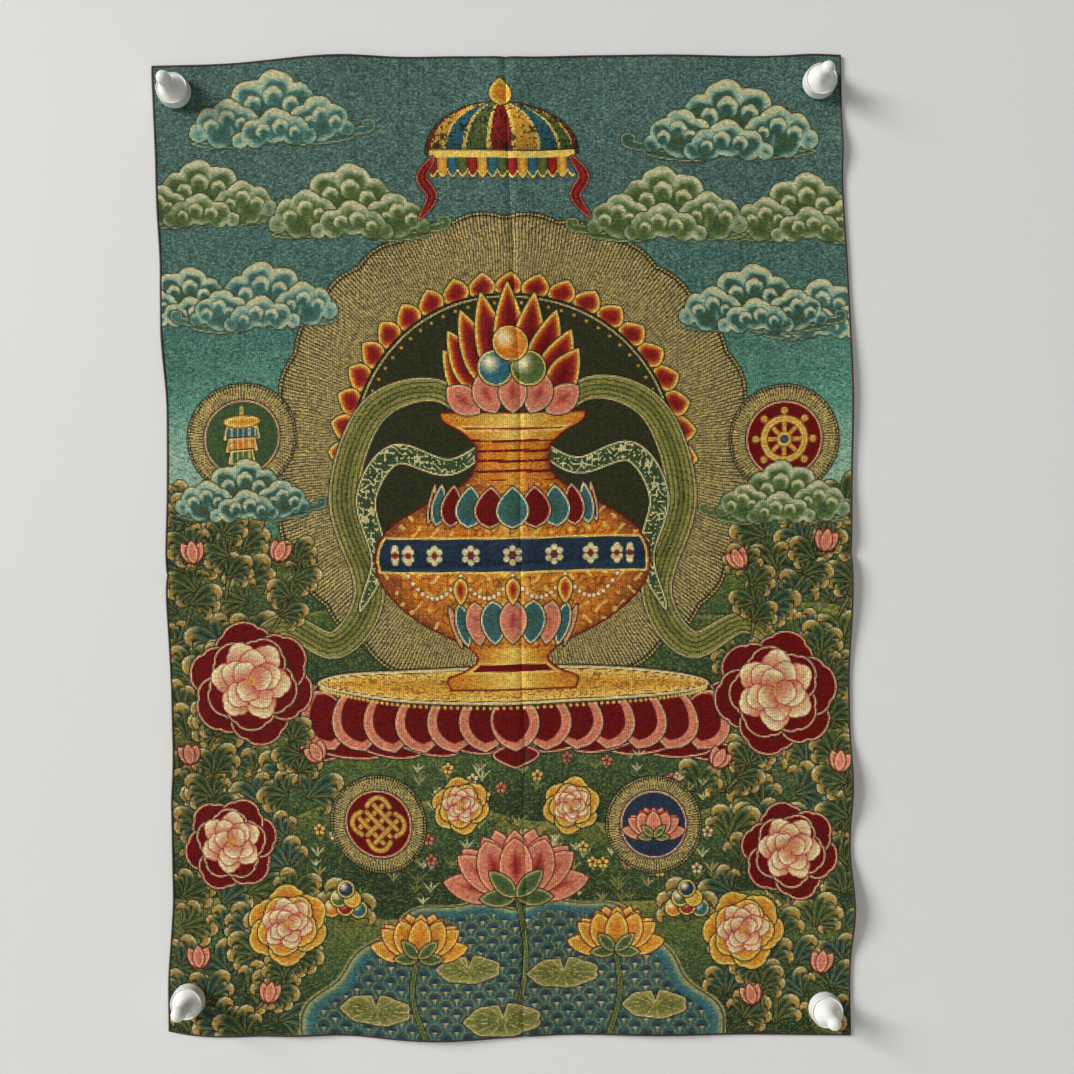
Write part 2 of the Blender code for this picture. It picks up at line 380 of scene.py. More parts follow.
def beside(x, y, path, widths):
    """How deep places lie inside a line of changing width, how far along it they lie,
    and to which side of its middle, in mm."""
    depth = np.full(x.shape, -1e9)
    along = np.zeros(x.shape)
    side = np.zeros(x.shape)
    count = len(path) - 1
    for i in range(count):
        (ax, ay), (bx, by) = path[i], path[i + 1]
        dx, dy = bx - ax, by - ay
        length = np.hypot(dx, dy) + 1e-9
        share = np.clip(((x - ax) * dx + (y - ay) * dy) / length**2, 0, 1)
        away = np.hypot(x - ax - share * dx, y - ay - share * dy)
        here = widths[i] + (widths[i + 1] - widths[i]) * share - away
        better = here > depth
        depth[better] = here[better]
        along[better] = ((i + share) / count)[better]
        side[better] = ((dx * (y - ay) - dy * (x - ax)) / length)[better]
    return depth, along, side


def petal(length, width, widest=1.0, blunt=0.7, lean=0.0):
    """A petal's outline from its root at the origin up to its tip.

    Its half width is a power of the sine of its height. lean bends it sideways as the
    square of the height.
    """
    up = np.linspace(0, 1, 11)
    half = width / 2 * np.sin(np.pi * up**widest) ** blunt
    bend = lean * up**2
    right = np.column_stack((half + bend, up * length))
    left = np.column_stack((-half + bend, up * length))[::-1]
    return np.vstack((right, left[1:-1]))


def motif(chart, at, outline, bands, turn=0, shade=None, **finish):
    """Weaves a filled outline, its colours by depth, inside a line of another thread.

    shade, a function of the places in the motif's own unturned frame, gives the share
    of a second thread and that thread's name.
    """
    placed = turned(outline, turn)
    cells, x, y = near(chart, at, np.abs(placed).max() + 2)
    if not len(cells):
        return
    depth = inside(x, y, placed)
    colour = banded(depth, bands)
    if shade is not None:
        back = turned(np.column_stack((x, y)), -turn)
        colour = tint(colour, *shade(back[:, 0], back[:, 1], depth))
    lay(chart, cells, depth, colour, **finish)


def stroke(chart, at, path, width, bands, ends=(0.3, 0.3), ribs=0.0, pattern=0.0, **finish):
    """Weaves a line of thread along a path. Its half width swells from the ends as a
    root of a sine, and ends gives the share of it that is left at each end. ribs is the
    pitch of dark folds that run with it, and pattern that of pale squiggles on it."""
    path = np.asarray(path, float)
    share = np.linspace(0, 1, len(path))
    base = np.interp(share, (0, 1), ends)
    widths = width / 2 * (base + (1 - base) * np.sin(np.pi * share) ** 0.6)
    middle = (path.max(0) + path.min(0)) / 2
    reach = (path.max(0) - path.min(0)).max() / 2 + width + 2
    cells, x, y = near(chart, np.add(at, middle), reach)
    if not len(cells):
        return
    depth, _, side = beside(x + middle[0], y + middle[1], path, widths)
    colour = banded(depth, bands)
    if ribs:
        fold = np.abs((side / ribs) % 1 - 0.5) < 0.17
        colour = np.where((fold & (depth > 0.9))[:, None], colour * 0.6, colour)
    if pattern:
        lines = np.abs(squiggle(x, y, pitch=pattern)) < 0.3
        colour = tint(colour, 0.85 * (lines & (depth > 1.3)), "cream")
    finish.setdefault("line", None)
    lay(chart, cells, depth, colour, **finish)


def disc(chart, at, radius, bands, shade=None, **finish):
    """Weaves a round field, its colours by depth from its rim."""
    cells, x, y = near(chart, at, radius + 2)
    depth = radius - np.hypot(x, y)
    colour = banded(depth, bands)
    if shade is not None:
        colour = tint(colour, *shade(x, y, depth))
    lay(chart, cells, depth, colour, **finish)


def dots(chart, places, radius, thread, **finish):
    """Small round dots of one thread."""
    for place in places:
        disc(chart, place, radius, ((0, thread),), **{"line": None, **finish})


# Threads by height, in mm
SKY = (
    (-60, "sage"), (6, "sage"), (30, "mist"), (58, "mist"), (96, "turquoise"), (150, "sea"), (220, "dusk"),
)
HILLS = (
    # crest_mm, swell_mm, waves, phase, threads by depth
    (26, 8, 1.4, 0.4, ((0, "mist"), (3, "turquoise"), (14, "fern"), (60, "pine"))),
    (0, 11, 1.1, 2.3, ((0, "lime"), (3, "moss"), (12, "leaf"), (34, "fern"), (60, "pine"))),
    (-48, 10, 1.5, 4.0, ((0, "lime"), (3, "leaf"), (16, "fern"), (50, "pine"))),
    (-104, 12, 1.2, 0.9, ((0, "lime"), (4, "moss"), (16, "leaf"), (40, "fern"), (70, "pine"))),
    (-166, 9, 1.7, 3.1, ((0, "lime"), (3, "moss"), (18, "fern"), (50, "pine"))),
    (-226, 9, 1.3, 5.2, ((0, "lime"), (4, "moss"), (16, "leaf"), (40, "fern"), (70, "pine"))),
)


def weave_land(chart):
    """The sky's colour changes with height, in wavering streaks. Each hill is all that
    lies under a crest of one long wave with a shorter one on it. Its colour changes
    with the depth, in wavering patches. A speckle of single cells breaks up both."""
    everything = np.arange(len(chart.u))
    u, v = chart.u, chart.v
    streak = 7 * np.sin(u / 37 + 2 * np.sin(v / 11)) * np.sin(v / 6.3 + 0.6 * np.sin(u / 23))
    colour = tint(banded(v + streak, SKY), 0.26 * (chart.noise > 0.82), "mist")
    weave_in(chart, everything, np.ones(len(u)), tint(colour, 0.2 * (chart.noise < 0.18), "ink"))
    for crest, swell, waves, phase, bands in HILLS:
        turn = u / SHEET_WIDTH_MM * 2 * np.pi * waves + phase
        height = crest + swell * np.sin(turn) + 0.3 * swell * np.sin(3.1 * turn + 1)
        depth = height - v
        patch = 5 * np.sin(u / 19 + phase) * np.sin(v / 13 + 0.5 * phase)
        patch += 2.5 * np.sin(v / 1.9 + u / 8)
        colour = banded(depth + patch * (depth > 3), bands)
        colour = tint(colour, 0.4 * (chart.noise > 0.8), "lime")
        colour = tint(colour, 0.35 * (chart.noise < 0.2), "pine")
        lay(chart, everything, depth, colour, line="pine", width=0.8, raised=0.02)


def rayed(x, y, depth, rays, bands, deepest):
    """Gold ground under fine dark rays, which fade into a speckle further in."""
    angle = np.arctan2(y, x)
    colour = banded(depth, bands)
    wave = np.cos(angle * rays + 0.8 * np.sin(np.hypot(x, y) / 4))
    strength = np.clip(1.05 - depth / deepest, 0.4, 1)
    return colour * (1 - 0.6 * strength * np.clip(wave * 1.8 + 0.3, 0, 1))[:, None]


HALO_AT = (2, 56)
HALO_BANDS = (
    (0, "lemon"), (1.0, "straw"), (1.7, "ink"), (2.4, "khaki"), (3.2, "straw"), (20, "straw"), (75, "khaki"),
)
NIMBUS_BANDS = ((0, "ink"), (0.8, "ink"), (1.2, "straw"), (2.0, "straw"), (2.4, "ink"), (3.2, "night"))


def weave_halo(chart, radius=150):
    """The rayed halo: a round field whose rim has shallow lobes."""
    cells, x, y = near(chart, HALO_AT, radius + 8)
    depth = radius + 3.0 * np.abs(np.sin(np.arctan2(y, x) * 14)) - np.hypot(x, y)
    colour = rayed(x, y, depth, 420, HALO_BANDS, 80)
    colour = tint(colour, 0.16 * ((chart.noise[cells] > 0.8) & (depth > 3)), "lemon")
    colour = tint(colour, 0.2 * ((chart.noise[cells] < 0.2) & (depth > 3)), "bark")
    lay(chart, cells, depth, colour, width=0.8, gold=0.4, raised=0.05)


def weave_nimbus(chart, radius=102):
    """The dark disc at the heart of the halo, in a ring of flame petals, with a thin gold
    rim and a ring of dots."""
    flame = petal(17, 17, 0.85, 0.8, 2.5)
    for turn in np.arange(0, 360, 9):
        motif(chart, out_from(HALO_AT, radius - 3, turn), flame, FLAME, turn, raised=0.08, gold=0.2)
    disc(chart, HALO_AT, radius, NIMBUS_BANDS, raised=0.03)
    angles = np.linspace(0, 2 * np.pi, 73)[:-1]
    ring = np.column_stack((np.cos(angles), np.sin(angles))) * (radius - 5.4)
    dots(chart, ring + HALO_AT, 0.95, "gold", gold=0.7)


CLOUD_HEAPS = (
    # From the back to the front, the lobes of each heap: x, y and radius, as shares of
    # the cloud's width
    ((-0.12, 0.15, 0.13), (0.03, 0.20, 0.13), (0.17, 0.13, 0.11), (-0.22, 0.08, 0.10), (0.0, 0.06, 0.16)),
    ((0.30, 0.05, 0.10), (0.40, 0.0, 0.09), (0.22, 0.0, 0.10), (0.48, -0.06, 0.05), (0.32, -0.04, 0.10)),
    ((-0.38, 0.03, 0.09), (-0.27, 0.07, 0.1), (-0.46, -0.04, 0.06), (-0.18, 0.0, 0.11), (-0.32, -0.04, 0.1)),
    ((-0.10, -0.06, 0.09), (0.03, -0.02, 0.11), (0.15, -0.06, 0.09), (-0.2, -0.1, 0.05), (0.24, -0.1, 0.05)),
)
CLOUD_CURLS = (
    # The three small pale puffs on each heap, in the same way
    ((-0.11, 0.13, 0.05), (0.02, 0.17, 0.06), (0.13, 0.11, 0.05)),
    ((0.32, 0.03, 0.05), (0.41, -0.02, 0.04), (0.25, -0.01, 0.035)),
    ((-0.28, 0.05, 0.05), (-0.38, 0.0, 0.045), (-0.19, 0.01, 0.035)),
    ((-0.05, -0.05, 0.045), (0.06, -0.03, 0.05), (0.15, -0.07, 0.035)),
)
CLOUD_BODIES = {
    "green": ("pearl", "sage", "leaf", "fern"),
    "blue": ("pearl", "mist", "sea", "teal"),
    "sage": ("pearl", "mist", "teal", "fern"),
}
CLOUD_TRAIL = ((0, 0), (0.3, -0.03), (0.65, 0.0), (0.95, 0.06), (1.0, 0.16), (0.9, 0.17), (0.88, 0.1))


def puff(chart, centre, r, bodies, way, wobble):
    """One small scalloped round of cloud, pale along its crown."""
    lit, pale, mid, low = bodies
    cells, x, y = near(chart, centre, 1.15 * r + 2)
    angle = np.arctan2(y, way * x)
    depth = r * (0.94 + 0.12 * np.abs(np.sin(2.5 * angle + wobble))) - np.hypot(x, y)
    shade = 0.75 * depth / r - 0.6 * (y - 0.35 * way * x) / r - 0.2
    colour = banded(shade, ((-0.7, lit), (-0.22, lit), (0.08, pale), (0.36, mid), (0.8, low)))
    lay(chart, cells, depth, colour, line=mid, width=0.5, raised=0.12)


def weave_cloud(chart, at, width, body, mirrored):
    """Heaps of lobes over a trailing foot. Each heap is one field, as deep as the
    deepest of its lobes, pale along its crown and shaded with its depth. Small pale
    puffs lie on it."""
    bodies = CLOUD_BODIES[body]
    lit, pale, mid, low = bodies
    way = -1 if mirrored else 1
    for x, y, reach in ((-0.5, -0.11, 0.5), (0.1, -0.13, 0.42), (0.3, -0.08, 0.34)):
        path = (curve(CLOUD_TRAIL) * reach + (x, y)) * width * (way, 1)
        stroke(chart, at, path, 0.05 * width, ((0, lit), (1, mid), (3, low)), ends=(0.3, 0.5), line="pine")
    cells, x, y = near(chart, at, 0.6 * width)
    x, y = way * x / width, y / width
    for k, (lobes, curls) in enumerate(zip(CLOUD_HEAPS, CLOUD_CURLS)):
        depth = np.full(x.shape, -1.0)
        for cx, cy, r in lobes:
            angle = np.arctan2(y - cy, x - cx)
            lobe = r * (0.96 + 0.08 * np.abs(np.sin(2.5 * angle + 9 * cx))) - np.hypot(x - cx, y - cy)
            depth = np.maximum(depth, lobe)
        middle = np.mean(lobes, axis=0)
        patch = 0.02 * np.sin(29 * x + k) * np.sin(37 * y)
        shade = depth - 0.22 * (y - middle[1] - 0.02) + 0.05 * (x - middle[0]) + patch
        colour = banded(shade, ((-0.05, lit), (-0.005, lit), (0.025, pale), (0.05, mid), (0.11, low)))
        lay(chart, cells, depth * width, colour, line="pine", width=0.7, raised=0.1)
        for i, (cx, cy, r) in enumerate(curls):
            puff(chart, np.add(at, (way * cx * width, cy * width)), r * width, bodies, way, 3 * k + i)


def scallop(length, width):
    """A broad petal's outline from its root: an ellipse whose rim has three lobes, as
    the root of a cosine gives them."""
    phi = np.linspace(-0.72 * np.pi, 0.72 * np.pi, 25)
    swell = 0.91 + 0.10 * np.sqrt(np.abs(np.cos(phi / 0.48)))
    x = width / 2 * np.sin(phi) * swell
    y = length * (0.52 + 0.48 * np.cos(phi) * swell)
    return np.vstack((np.column_stack((x, y)), [(0, 0)]))


def weave_peony(chart, at, size, turn=0, outer=MAROON_PETAL):
    """A peony: scalloped outer petals round a heap of cream ones, each shaded with rose
    towards its root, where the next one lies over it."""
    for count, out, length, width, offset in ((6, 0.1, 0.96, 1.0, 0), (5, 0.06, 0.74, 0.82, 28)):
        shape = scallop(size * length, size * width)
        for i in range(count):
            angle = turn + offset + i * 360 / count + 7 * np.sin(i * 2.1)
            motif(chart, out_from(at, size * out, angle), shape, outer, angle, raised=0.14)
    raised_heart = np.add(at, (0, 0.05 * size))
    for count, out, length, width, offset in (
        (6, 0.12, 0.56, 0.50, 12),
        (5, 0.04, 0.48, 0.44, -16),
        (3, -0.06, 0.42, 0.40, 30),
    ):
        deep = lambda x, y, d, s=size * length: (1.62 - 1.75 * y / s - 0.9 * x / s, "rose")
        finish = {"line": "crimson", "width": 0.5, "raised": 0.2, "shade": deep}
        shape = scallop(size * length, size * width)
        for i in range(count):
            angle = turn + offset + i * 360 / count
            motif(chart, out_from(raised_heart, size * out, angle), shape, CREAM_PETAL, angle, **finish)
    stamens = [out_from(raised_heart, 0.07 * size, 60 * i) for i in range(6)]
    dots(chart, stamens, 0.9, "gold", gold=0.6, raised=0.26)


def weave_bud(chart, at, size, turn=0):
    """A closed bud of three petals in two green sepals."""
    for angle in (38, -38):
        motif(chart, at, petal(size * 0.8, size * 0.42, 0.8, 0.8), GREEN_LEAF, turn + angle)
    for angle in (26, -26, 0):
        shape = petal(size, size * 0.5, 0.9, 0.7)
        motif(chart, at, shape, ROSE_PETAL, turn + angle, line="maroon", raised=0.15)


HOOK = np.array(((0, 0), (0, 0.34), (0.02, 0.62), (0.12, 0.85), (0.31, 0.95), (0.48, 0.86), (0.54, 0.68)))


def weave_blade(chart, at, length, turn, way, body="fern"):
    """One lobe of a leaf: a dark band that swells, then rolls over sideways into a
    narrow gold hook, which is palest on its outer side."""
    path = turned(curve(HOOK, steps=2) * (way * length, length), turn)
    share = np.linspace(0, 1, len(path))
    widths = np.interp(share, (0, 0.3, 0.55, 0.8, 1), (0.07, 0.18, 0.18, 0.11, 0.0)) * length
    cells, x, y = near(chart, at, 1.2 * length)
    depth, along, side = beside(x, y, path, widths)
    colour = banded(depth, ((0, "lime"), (0.5, "moss"), (1.0, body), (3.5, "pine")))
    colour = tint(colour, 0.7 * (np.abs(side) < 0.35), "ink")
    across_hook = ((-0.12, "moss"), (-0.06, "amber"), (0.02, "amber"), (0.06, "straw"), (0.11, "cream"))
    hook = banded(way * side / length, across_hook)
    rolled = np.clip(along * 5 - 2.1, 0, 1)[:, None]
    lay(chart, cells, depth, colour + (hook - colour) * rolled, width=0.6, raised=0.13)


def weave_tuft(chart, at, size, turn=0, body="fern"):
    """A lobed leaf: a fan of blades that hook away from its middle, the outer ones
    shorter."""
    for share in outermost_first(np.linspace(-1, 1, 5)):
        way = np.sign(share) if abs(share) > 0.1 else -np.sign(turn + 0.1)
        weave_blade(chart, at, size * (1 - 0.28 * abs(share)), turn - 62 * share, way, body)


def weave_spray(chart, u, v, reach, turn, tufts, size):
    """A bending stem with tufts along it, on either side in turn."""
    start = (u, v)
    t = np.linspace(0, 1, 9)
    path = turned(np.column_stack((0.16 * reach * np.sin(2.4 * t), reach * t)), turn)
    stroke(chart, start, path, 1.8, ((0, "straw"), (0.6, "leaf")), line="ink")
    for i in range(tufts):
        place = path[int(round((i + 1) / tufts * 8))]
        lean = 0 if i == tufts - 1 else (48 if i % 2 else -48)
        weave_tuft(chart, np.add(start, place), size, turn + lean)


def weave_thicket(chart, seed=5):
    """Tufts that fill both sides of the meadow, row behind row, at seeded places."""
    draw = np.random.default_rng(seed)
    for v in np.arange(30, -300, -20):
        for side in (-1, 1):
            inner = 150 if v > -60 else (128 if v > -140 else 118 + 0.16 * (-v - 140))
            for u in np.arange(206, inner, -21):
                at = (side * (u + draw.uniform(-6, 6)), v + draw.uniform(-6, 6) - 8)
                body = ("fern", "teal", "leaf", "teal")[draw.integers(4)]
                weave_tuft(chart, at, draw.uniform(17, 22), draw.uniform(-70, 70), body)


MAT_BANDS = ((0, "straw"), (0.8, "cream"), (1.7, "cream"), (2.1, "maroon"), (2.7, "lemon"), (12, "gold"))


def weave_throne(chart, at=(2, -92), half=128):
    """The lotus seat: long leaves under it, then petals from the sides to the middle,
    under a pale mat with a fringe of stamens."""
    def place(across, down):
        return (at[0] + across, at[1] - down)

    for side in (-1, 1):
        for i in range(5):
            out = side * half * (0.80 - 0.18 * i)
            motif(chart, place(out, 33), petal(46, 13, 0.8, 0.6), MAROON_PETAL, -side * (98 - 5 * i))
    motif(chart, place(0, 46), petal(16, 30, 1.2, 0.8), MAROON_PETAL)
    for i in range(8):
        for side in (-1, 1):
            out = side * half * (0.99 - 0.99 * i / 8)
            motif(chart, place(out, 16), petal(27, 24, 1.1, 0.7), MAROON_PETAL, -side * (30 - 3.5 * i))
    for i in range(7):
        for side in (-1, 1):
            out = side * half * (0.90 - 0.90 * i / 6)
            shape = petal(38, 31, 0.95, 0.62, -side * (5 - 0.8 * i))
            heart = lambda px, py, d, s=side: (1.1 * (d - 4.0 - 0.2 * s * px + 0.05 * (py - 16)), "maroon")
            motif(chart, place(out, 35), shape, THRONE_PETAL, -side * (24 - 4 * i), raised=0.18, shade=heart)
    cells, x, y = near(chart, place(0, -6), half + 4)
    out = np.hypot(x / (half * 0.97), y / 12) + 1e-6
    depth = (1 - out) * out / (np.hypot(x / (half * 0.97) ** 2, y / 144) + 1e-6)
    scroll = (np.abs(squiggle(x, y * 1.9, 3.8)) < 0.3) & (depth > 3)
    colour = tint(banded(depth, MAT_BANDS), 0.6 * scroll, "rust")
    lay(chart, cells, depth, colour, width=0.9, gold=0.3, raised=0.1)
    angles = np.linspace(np.pi * 1.04, np.pi * 1.96, 84)
    fringe = np.column_stack((np.cos(angles) * half * 0.96, np.sin(angles) * 13)) + place(0, -5)
    dots(chart, fringe, 1.0, "lemon", gold=0.7, raised=0.18)


VASE_SIZE = 1.26
# The height and the half width before it is scaled, in mm
VASE_PROFILE = (
    (0, 31), (5, 32), (9, 23), (15, 17), (22, 24), (34, 47), (50, 64), (66, 68), (80, 60), (92, 41),
    (100, 26), (108, 19), (119, 18), (126, 24), (132, 34), (136, 36),
)


def vase_depth(x, y):
    """How deep places lie inside the vase: the half width at that height, less the
    distance from its middle, flattened where the side slopes."""
    fine = curve(VASE_PROFILE, steps=4)
    fine = fine[np.argsort(fine[:, 0], kind="stable")]
    half = np.interp(y, fine[:, 0], fine[:, 1])
    slope = np.interp(y + 0.5, fine[:, 0], fine[:, 1]) - np.interp(y - 0.5, fine[:, 0], fine[:, 1])
    across = (half - np.abs(x)) / np.sqrt(1 + slope**2)
    return np.minimum(across, np.minimum(y, VASE_PROFILE[-1][0] - y)), half


def collar(chart, at, y, half, length, count, palettes, down=False):
    """A row of petals round the vase, narrower and more turned towards its sides."""
    for i in outermost_first(range(-count, count + 1)):
        sweep = i / (count + 0.6) * np.pi / 2
        shape = petal(length, half * 2.0 / count * np.cos(sweep) + 1, 1.3 if down else 1.15, 0.6)
        place = (at[0] + half * np.sin(sweep), at[1] + y + (3 if down else -3) * (1 - np.cos(sweep)))
        turn = 180 + np.degrees(sweep) * 0.12 if down else -np.degrees(sweep) * 0.22
        motif(chart, place, shape, palettes[i % len(palettes)], turn, raised=0.24)


def weave_vase(chart, at=(2, -88)):
    """The treasure vase: an orange body shaded to its sides, with squiggles of gold and
    rust, a navy belt of blossoms, petal collars, a gilt foot and lip, and pearl swags."""
    s = VASE_SIZE
    cells, x, y = near(chart, (at[0], at[1] + 69 * s), 82 * s)
    x, y = x / s, y / s + 69
    depth, half = vase_depth(x, y)
    round_share = np.clip(np.abs(x) / (half + 1e-6), 0, 1)
    colour = banded(round_share, ((0, "gold"), (0.3, "orange"), (0.78, "orange"), (1, "rust")))
    field = squiggle(x, y, 4.2)
    body = (y > 20) & (y < 101)
    colour = tint(colour, 0.75 * (body & (np.abs(field) < 0.22)), "rust")
    colour = tint(colour, 0.8 * (body & (field > 1.45)), "lemon")
    gilt = banded(round_share, ((0, "lemon"), (0.5, "gold"), (1, "orange")))
    colour = np.where(((y < 20) | (y > 123))[:, None], gilt, colour)
    colour = tint(colour, 0.9 * ((y > 103) & (y < 123) & (np.abs((y / 5) % 1 - 0.5) < 0.14)), "maroon")
    lay(chart, cells, depth * s, colour, line="maroon", width=1.0, gold=0.45, raised=0.2)
    for low, high, thread in ((57, 75, "navy"), (7.5, 13, "maroon"), (127, 130, "crimson")):
        belt = np.minimum(np.minimum(y - low, high - y), depth - 0.6) * s
        colour = banded(belt, ((0, "lemon"), (1.0, "lemon"), (1.5, thread)))
        weave_in(chart, cells, 0.5 + belt / CELL_MM, colour, 0.2, 0.22)
    for i in range(-4, 5):
        sweep = i * 0.36
        flower = (at[0] + 59 * s * np.sin(sweep), at[1] + 66 * s)
        ring = [np.add(flower, turned([(0, 4.4)], 60 * k)[0] * (np.cos(sweep), 1)) for k in range(6)]
        dots(chart, ring, 2.0, "cream", raised=0.26)
        dots(chart, [flower], 1.9, "crimson", raised=0.26)
    collar(chart, at, 100 * s, 39 * s, 21 * s, 5, (TEAL_PETAL, MAROON_PETAL), down=True)
    collar(chart, at, 22 * s, 26 * s, 22 * s, 4, (ROSE_PETAL, TEAL_PETAL))
    share = np.linspace(0, 1, 12)
    for start in (-52, -26, 0, 26):
        swag = np.column_stack((start + 26 * share, 56 - 44 * share * (1 - share))) * s
        dots(chart, swag + at, 1.25, "white", line="rust", width=0.5, raised=0.3)
    for across in (-26, 0, 26):
        place = (at[0] + across * s, at[1] + 55 * s)
        motif(chart, place, petal(17, 9, 0.8, 0.8), FLAME, 180, raised=0.3)


def gem(chart, at, radius, thread, **finish):
    """A round jewel with a glint towards its upper left."""
    def glint(x, y, depth):
        return 1.15 - np.hypot(x + 0.32 * radius, y - 0.32 * radius) / (0.62 * radius), "white"

    disc(chart, at, radius, ((0, "lemon"), (0.8, "lemon"), (1.2, thread)), shade=glint, **finish)


def weave_jewels(chart, at, size):
    """Three round jewels in a ring of flames on a small lotus."""
    for share in np.linspace(-1, 1, 9):
        length = size * (1.25 - 0.62 * abs(share) ** 1.4)
        root = np.add(at, (0.42 * size * share, 0.1 * size * (1 - abs(share))))
        shape = petal(length, size * 0.40, 0.75, 0.85, -0.16 * size * share)
        motif(chart, root, shape, FLAME, -52 * share, raised=0.2, gold=0.2)
    for i in (-2, 2, -1, 1, 0):
        root = np.add(at, (i * 0.2 * size, -0.24 * size))
        motif(chart, root, petal(0.5 * size, 0.34 * size), ROSE_PETAL, -i * 26, raised=0.24)
    for x, y, thread in ((-0.2, 0.3, "azure"), (0.2, 0.3, "leaf"), (0, 0.6, "orange")):
        gem(chart, np.add(at, (x * size, y * size)), 0.21 * size, thread, raised=0.3)


def weave_scarf(chart, points, width=15, bands=SCARF_BANDS, ribs=3.0, **finish):
    """A silk scarf along a curve, its folds as dark lines that run with it."""
    path = curve(points, steps=8)
    finish = {"ends": (0.35, 0.12), "line": "ink", "raised": 0.2, "ribs": ribs, **finish}
    stroke(chart, (0, 0), path, width, bands, **finish)


def weave_roundel(chart, at, radius, field):
    """A small halo of rays round a plain disc, which carries an emblem."""
    cells, x, y = near(chart, at, radius + 3)
    depth = radius - np.hypot(x, y)
    bands = ((0, "straw"), (0.8, "straw"), (1.2, "ink"), (1.8, "straw"))
    colour = rayed(x, y, depth, 104, bands, 40)
    colour = tint(colour, 0.4 * ((chart.noise[cells] > 0.75) & (depth > 2)), "lemon")
    lay(chart, cells, depth, colour, gold=0.4, raised=0.06)
    disc(chart, at, radius * 0.70, ((0, "blush"), (0.8, "blush"), (1.3, field)), raised=0.1)


def weave_wheel(chart, at, r):
    """Emblem: a wheel with eight spokes and knobs."""
    for i in range(8):
        out = turned([(0, r)], 45 * i)[0]
        stroke(chart, at, [out * 0.15, out * 0.6, out * 1.08], r * 0.16, GOLD_FLAT, ends=(0.9, 0.9), gold=0.8)
        disc(chart, np.add(at, out * 1.12), r * 0.12, GOLD_FLAT, **GILT)
    rim = np.vstack([turned([(0, r * 0.8)], a) for a in np.linspace(0, 360, 33)])
    stroke(chart, at, rim, r * 0.22, GOLD_WORK, ends=(1, 1), raised=0.2, **GILT)
    disc(chart, at, r * 0.28, GOLD_WORK, raised=0.24, **GILT)
    disc(chart, at, r * 0.1, ((0, "azure"),), raised=0.26)


def weave_knot(chart, at, r):
    """Emblem: an endless knot, a diamond lattice of one cord closed by loops."""
    step = r * 0.34
    cord = {"ends": (1, 1), "raised": 0.18, **GILT}
    for k in (-1, 0, 1):
        for way in (1, -1):
            ends = np.array([(-1.5, way * -1.5), (1.5, way * 1.5)]) * step
            shift = np.array((k, -way * k)) * step * 0.95
            stroke(chart, at, np.linspace(*ends, 6) + shift, r * 0.16, GOLD_FLAT, **cord)
    loop = curve(((-0.5, 0.78), (-0.3, 1.06), (0, 1.18), (0.3, 1.06), (0.5, 0.78))) * r
    for angle in (0, 90, 180, 270):
        stroke(chart, at, turned(loop, angle), r * 0.16, GOLD_FLAT, **cord)


def weave_banner(chart, at, r):
    """Emblem: a victory banner, three pleated tiers under a gilt dome, on a pole."""
    stroke(chart, at, [(0, -1.25 * r), (0, 1.25 * r)], r * 0.14, GOLD_FLAT, ends=(1, 1), gold=0.8)
    pleats = lambda x, y, depth: (0.7 * (np.sin(x * 1.7) > 0.55), "cream")
    for i, thread in enumerate(("azure", "orange", "leaf")):
        top = 0.5 - 0.5 * i
        wide = 0.78 - 0.1 * i
        upper = ((-wide + 0.12, top), (wide - 0.12, top), (wide, top - 0.56))
        tier = np.array((*upper, (0, top - 0.66), (-wide, top - 0.56))) * r
        motif(chart, at, tier, ((0, "lemon"), (0.9, "lemon"), (1.3, thread)), shade=pleats, raised=0.18)
    motif(chart, np.add(at, (0, 0.42 * r)), petal(0.5 * r, 1.5 * r, 1.1, 0.5), GOLD_WORK, raised=0.22, **GILT)


def weave_parasol(chart, at=(2, 246), width=94):
    """The parasol: a ribbed dome in turns of colour, a pleated valance and a finial."""
    cells, x, y = near(chart, at, width * 0.62)
    half, rise = width / 2, width * 0.33
    dome = np.minimum((1 - np.hypot(x / half, y / rise)) * rise, y + 0.5)
    girth = half * np.sqrt(np.clip(1 - (y / rise) ** 2, 0.02, 1))
    rib = np.arcsin(np.clip(x / girth, -1, 1)) / np.pi * 9
    gore = np.floor(rib + 0.5).astype(int) % 4
    threads = np.array([dye(name) for name in ("crimson", "gold", "azure", "leaf")])
    colour = tint(threads[gore], 1.0 * (np.abs(rib - np.floor(rib + 0.5)) > 0.41), "lemon")
    colour = tint(colour, 0.7 * (np.abs(squiggle(x, y, 3.6)) < 0.22), "ink")
    colour = colour * (0.76 + 0.34 * np.clip(y / rise, 0, 1))[:, None]
    lay(chart, cells, dome, colour, width=0.9, gold=0.15, raised=0.16)
    share = (x + half) / width * 15
    fold = np.abs(np.sin(share * np.pi))
    hang = 12 + 4 * fold
    valance = np.minimum(np.minimum(half * 0.97 - np.abs(x), 1 - y), y + hang)
    colour = threads[np.floor(share).astype(int) % 4] * (0.72 + 0.34 * fold)[:, None]
    colour = tint(colour, 1.0 * ((y > -3.4) | (y < 1.6 - hang)), "lemon")
    lay(chart, cells, valance, colour, width=0.8, gold=0.15, raised=0.18)
    motif(chart, (at[0], at[1] + width * 0.31), petal(17, 14, 0.8, 0.8), GOLD_WORK, gold=0.7, raised=0.22)
    for side in (-1, 1):
        tail = np.array(((0.93, -4), (1.08, -16), (0.96, -28), (1.14, -42))) * (side * half, 1)
        weave_scarf(chart, tail + at, 7, ((0, "blush"), (0.8, "crimson")))


POND_WATER = (
    (0, "straw"), (0.5, "khaki"), (1.1, "azure"), (2.4, "teal"), (3.0, "khaki"), (3.6, "teal"), (7, "navy"),
)


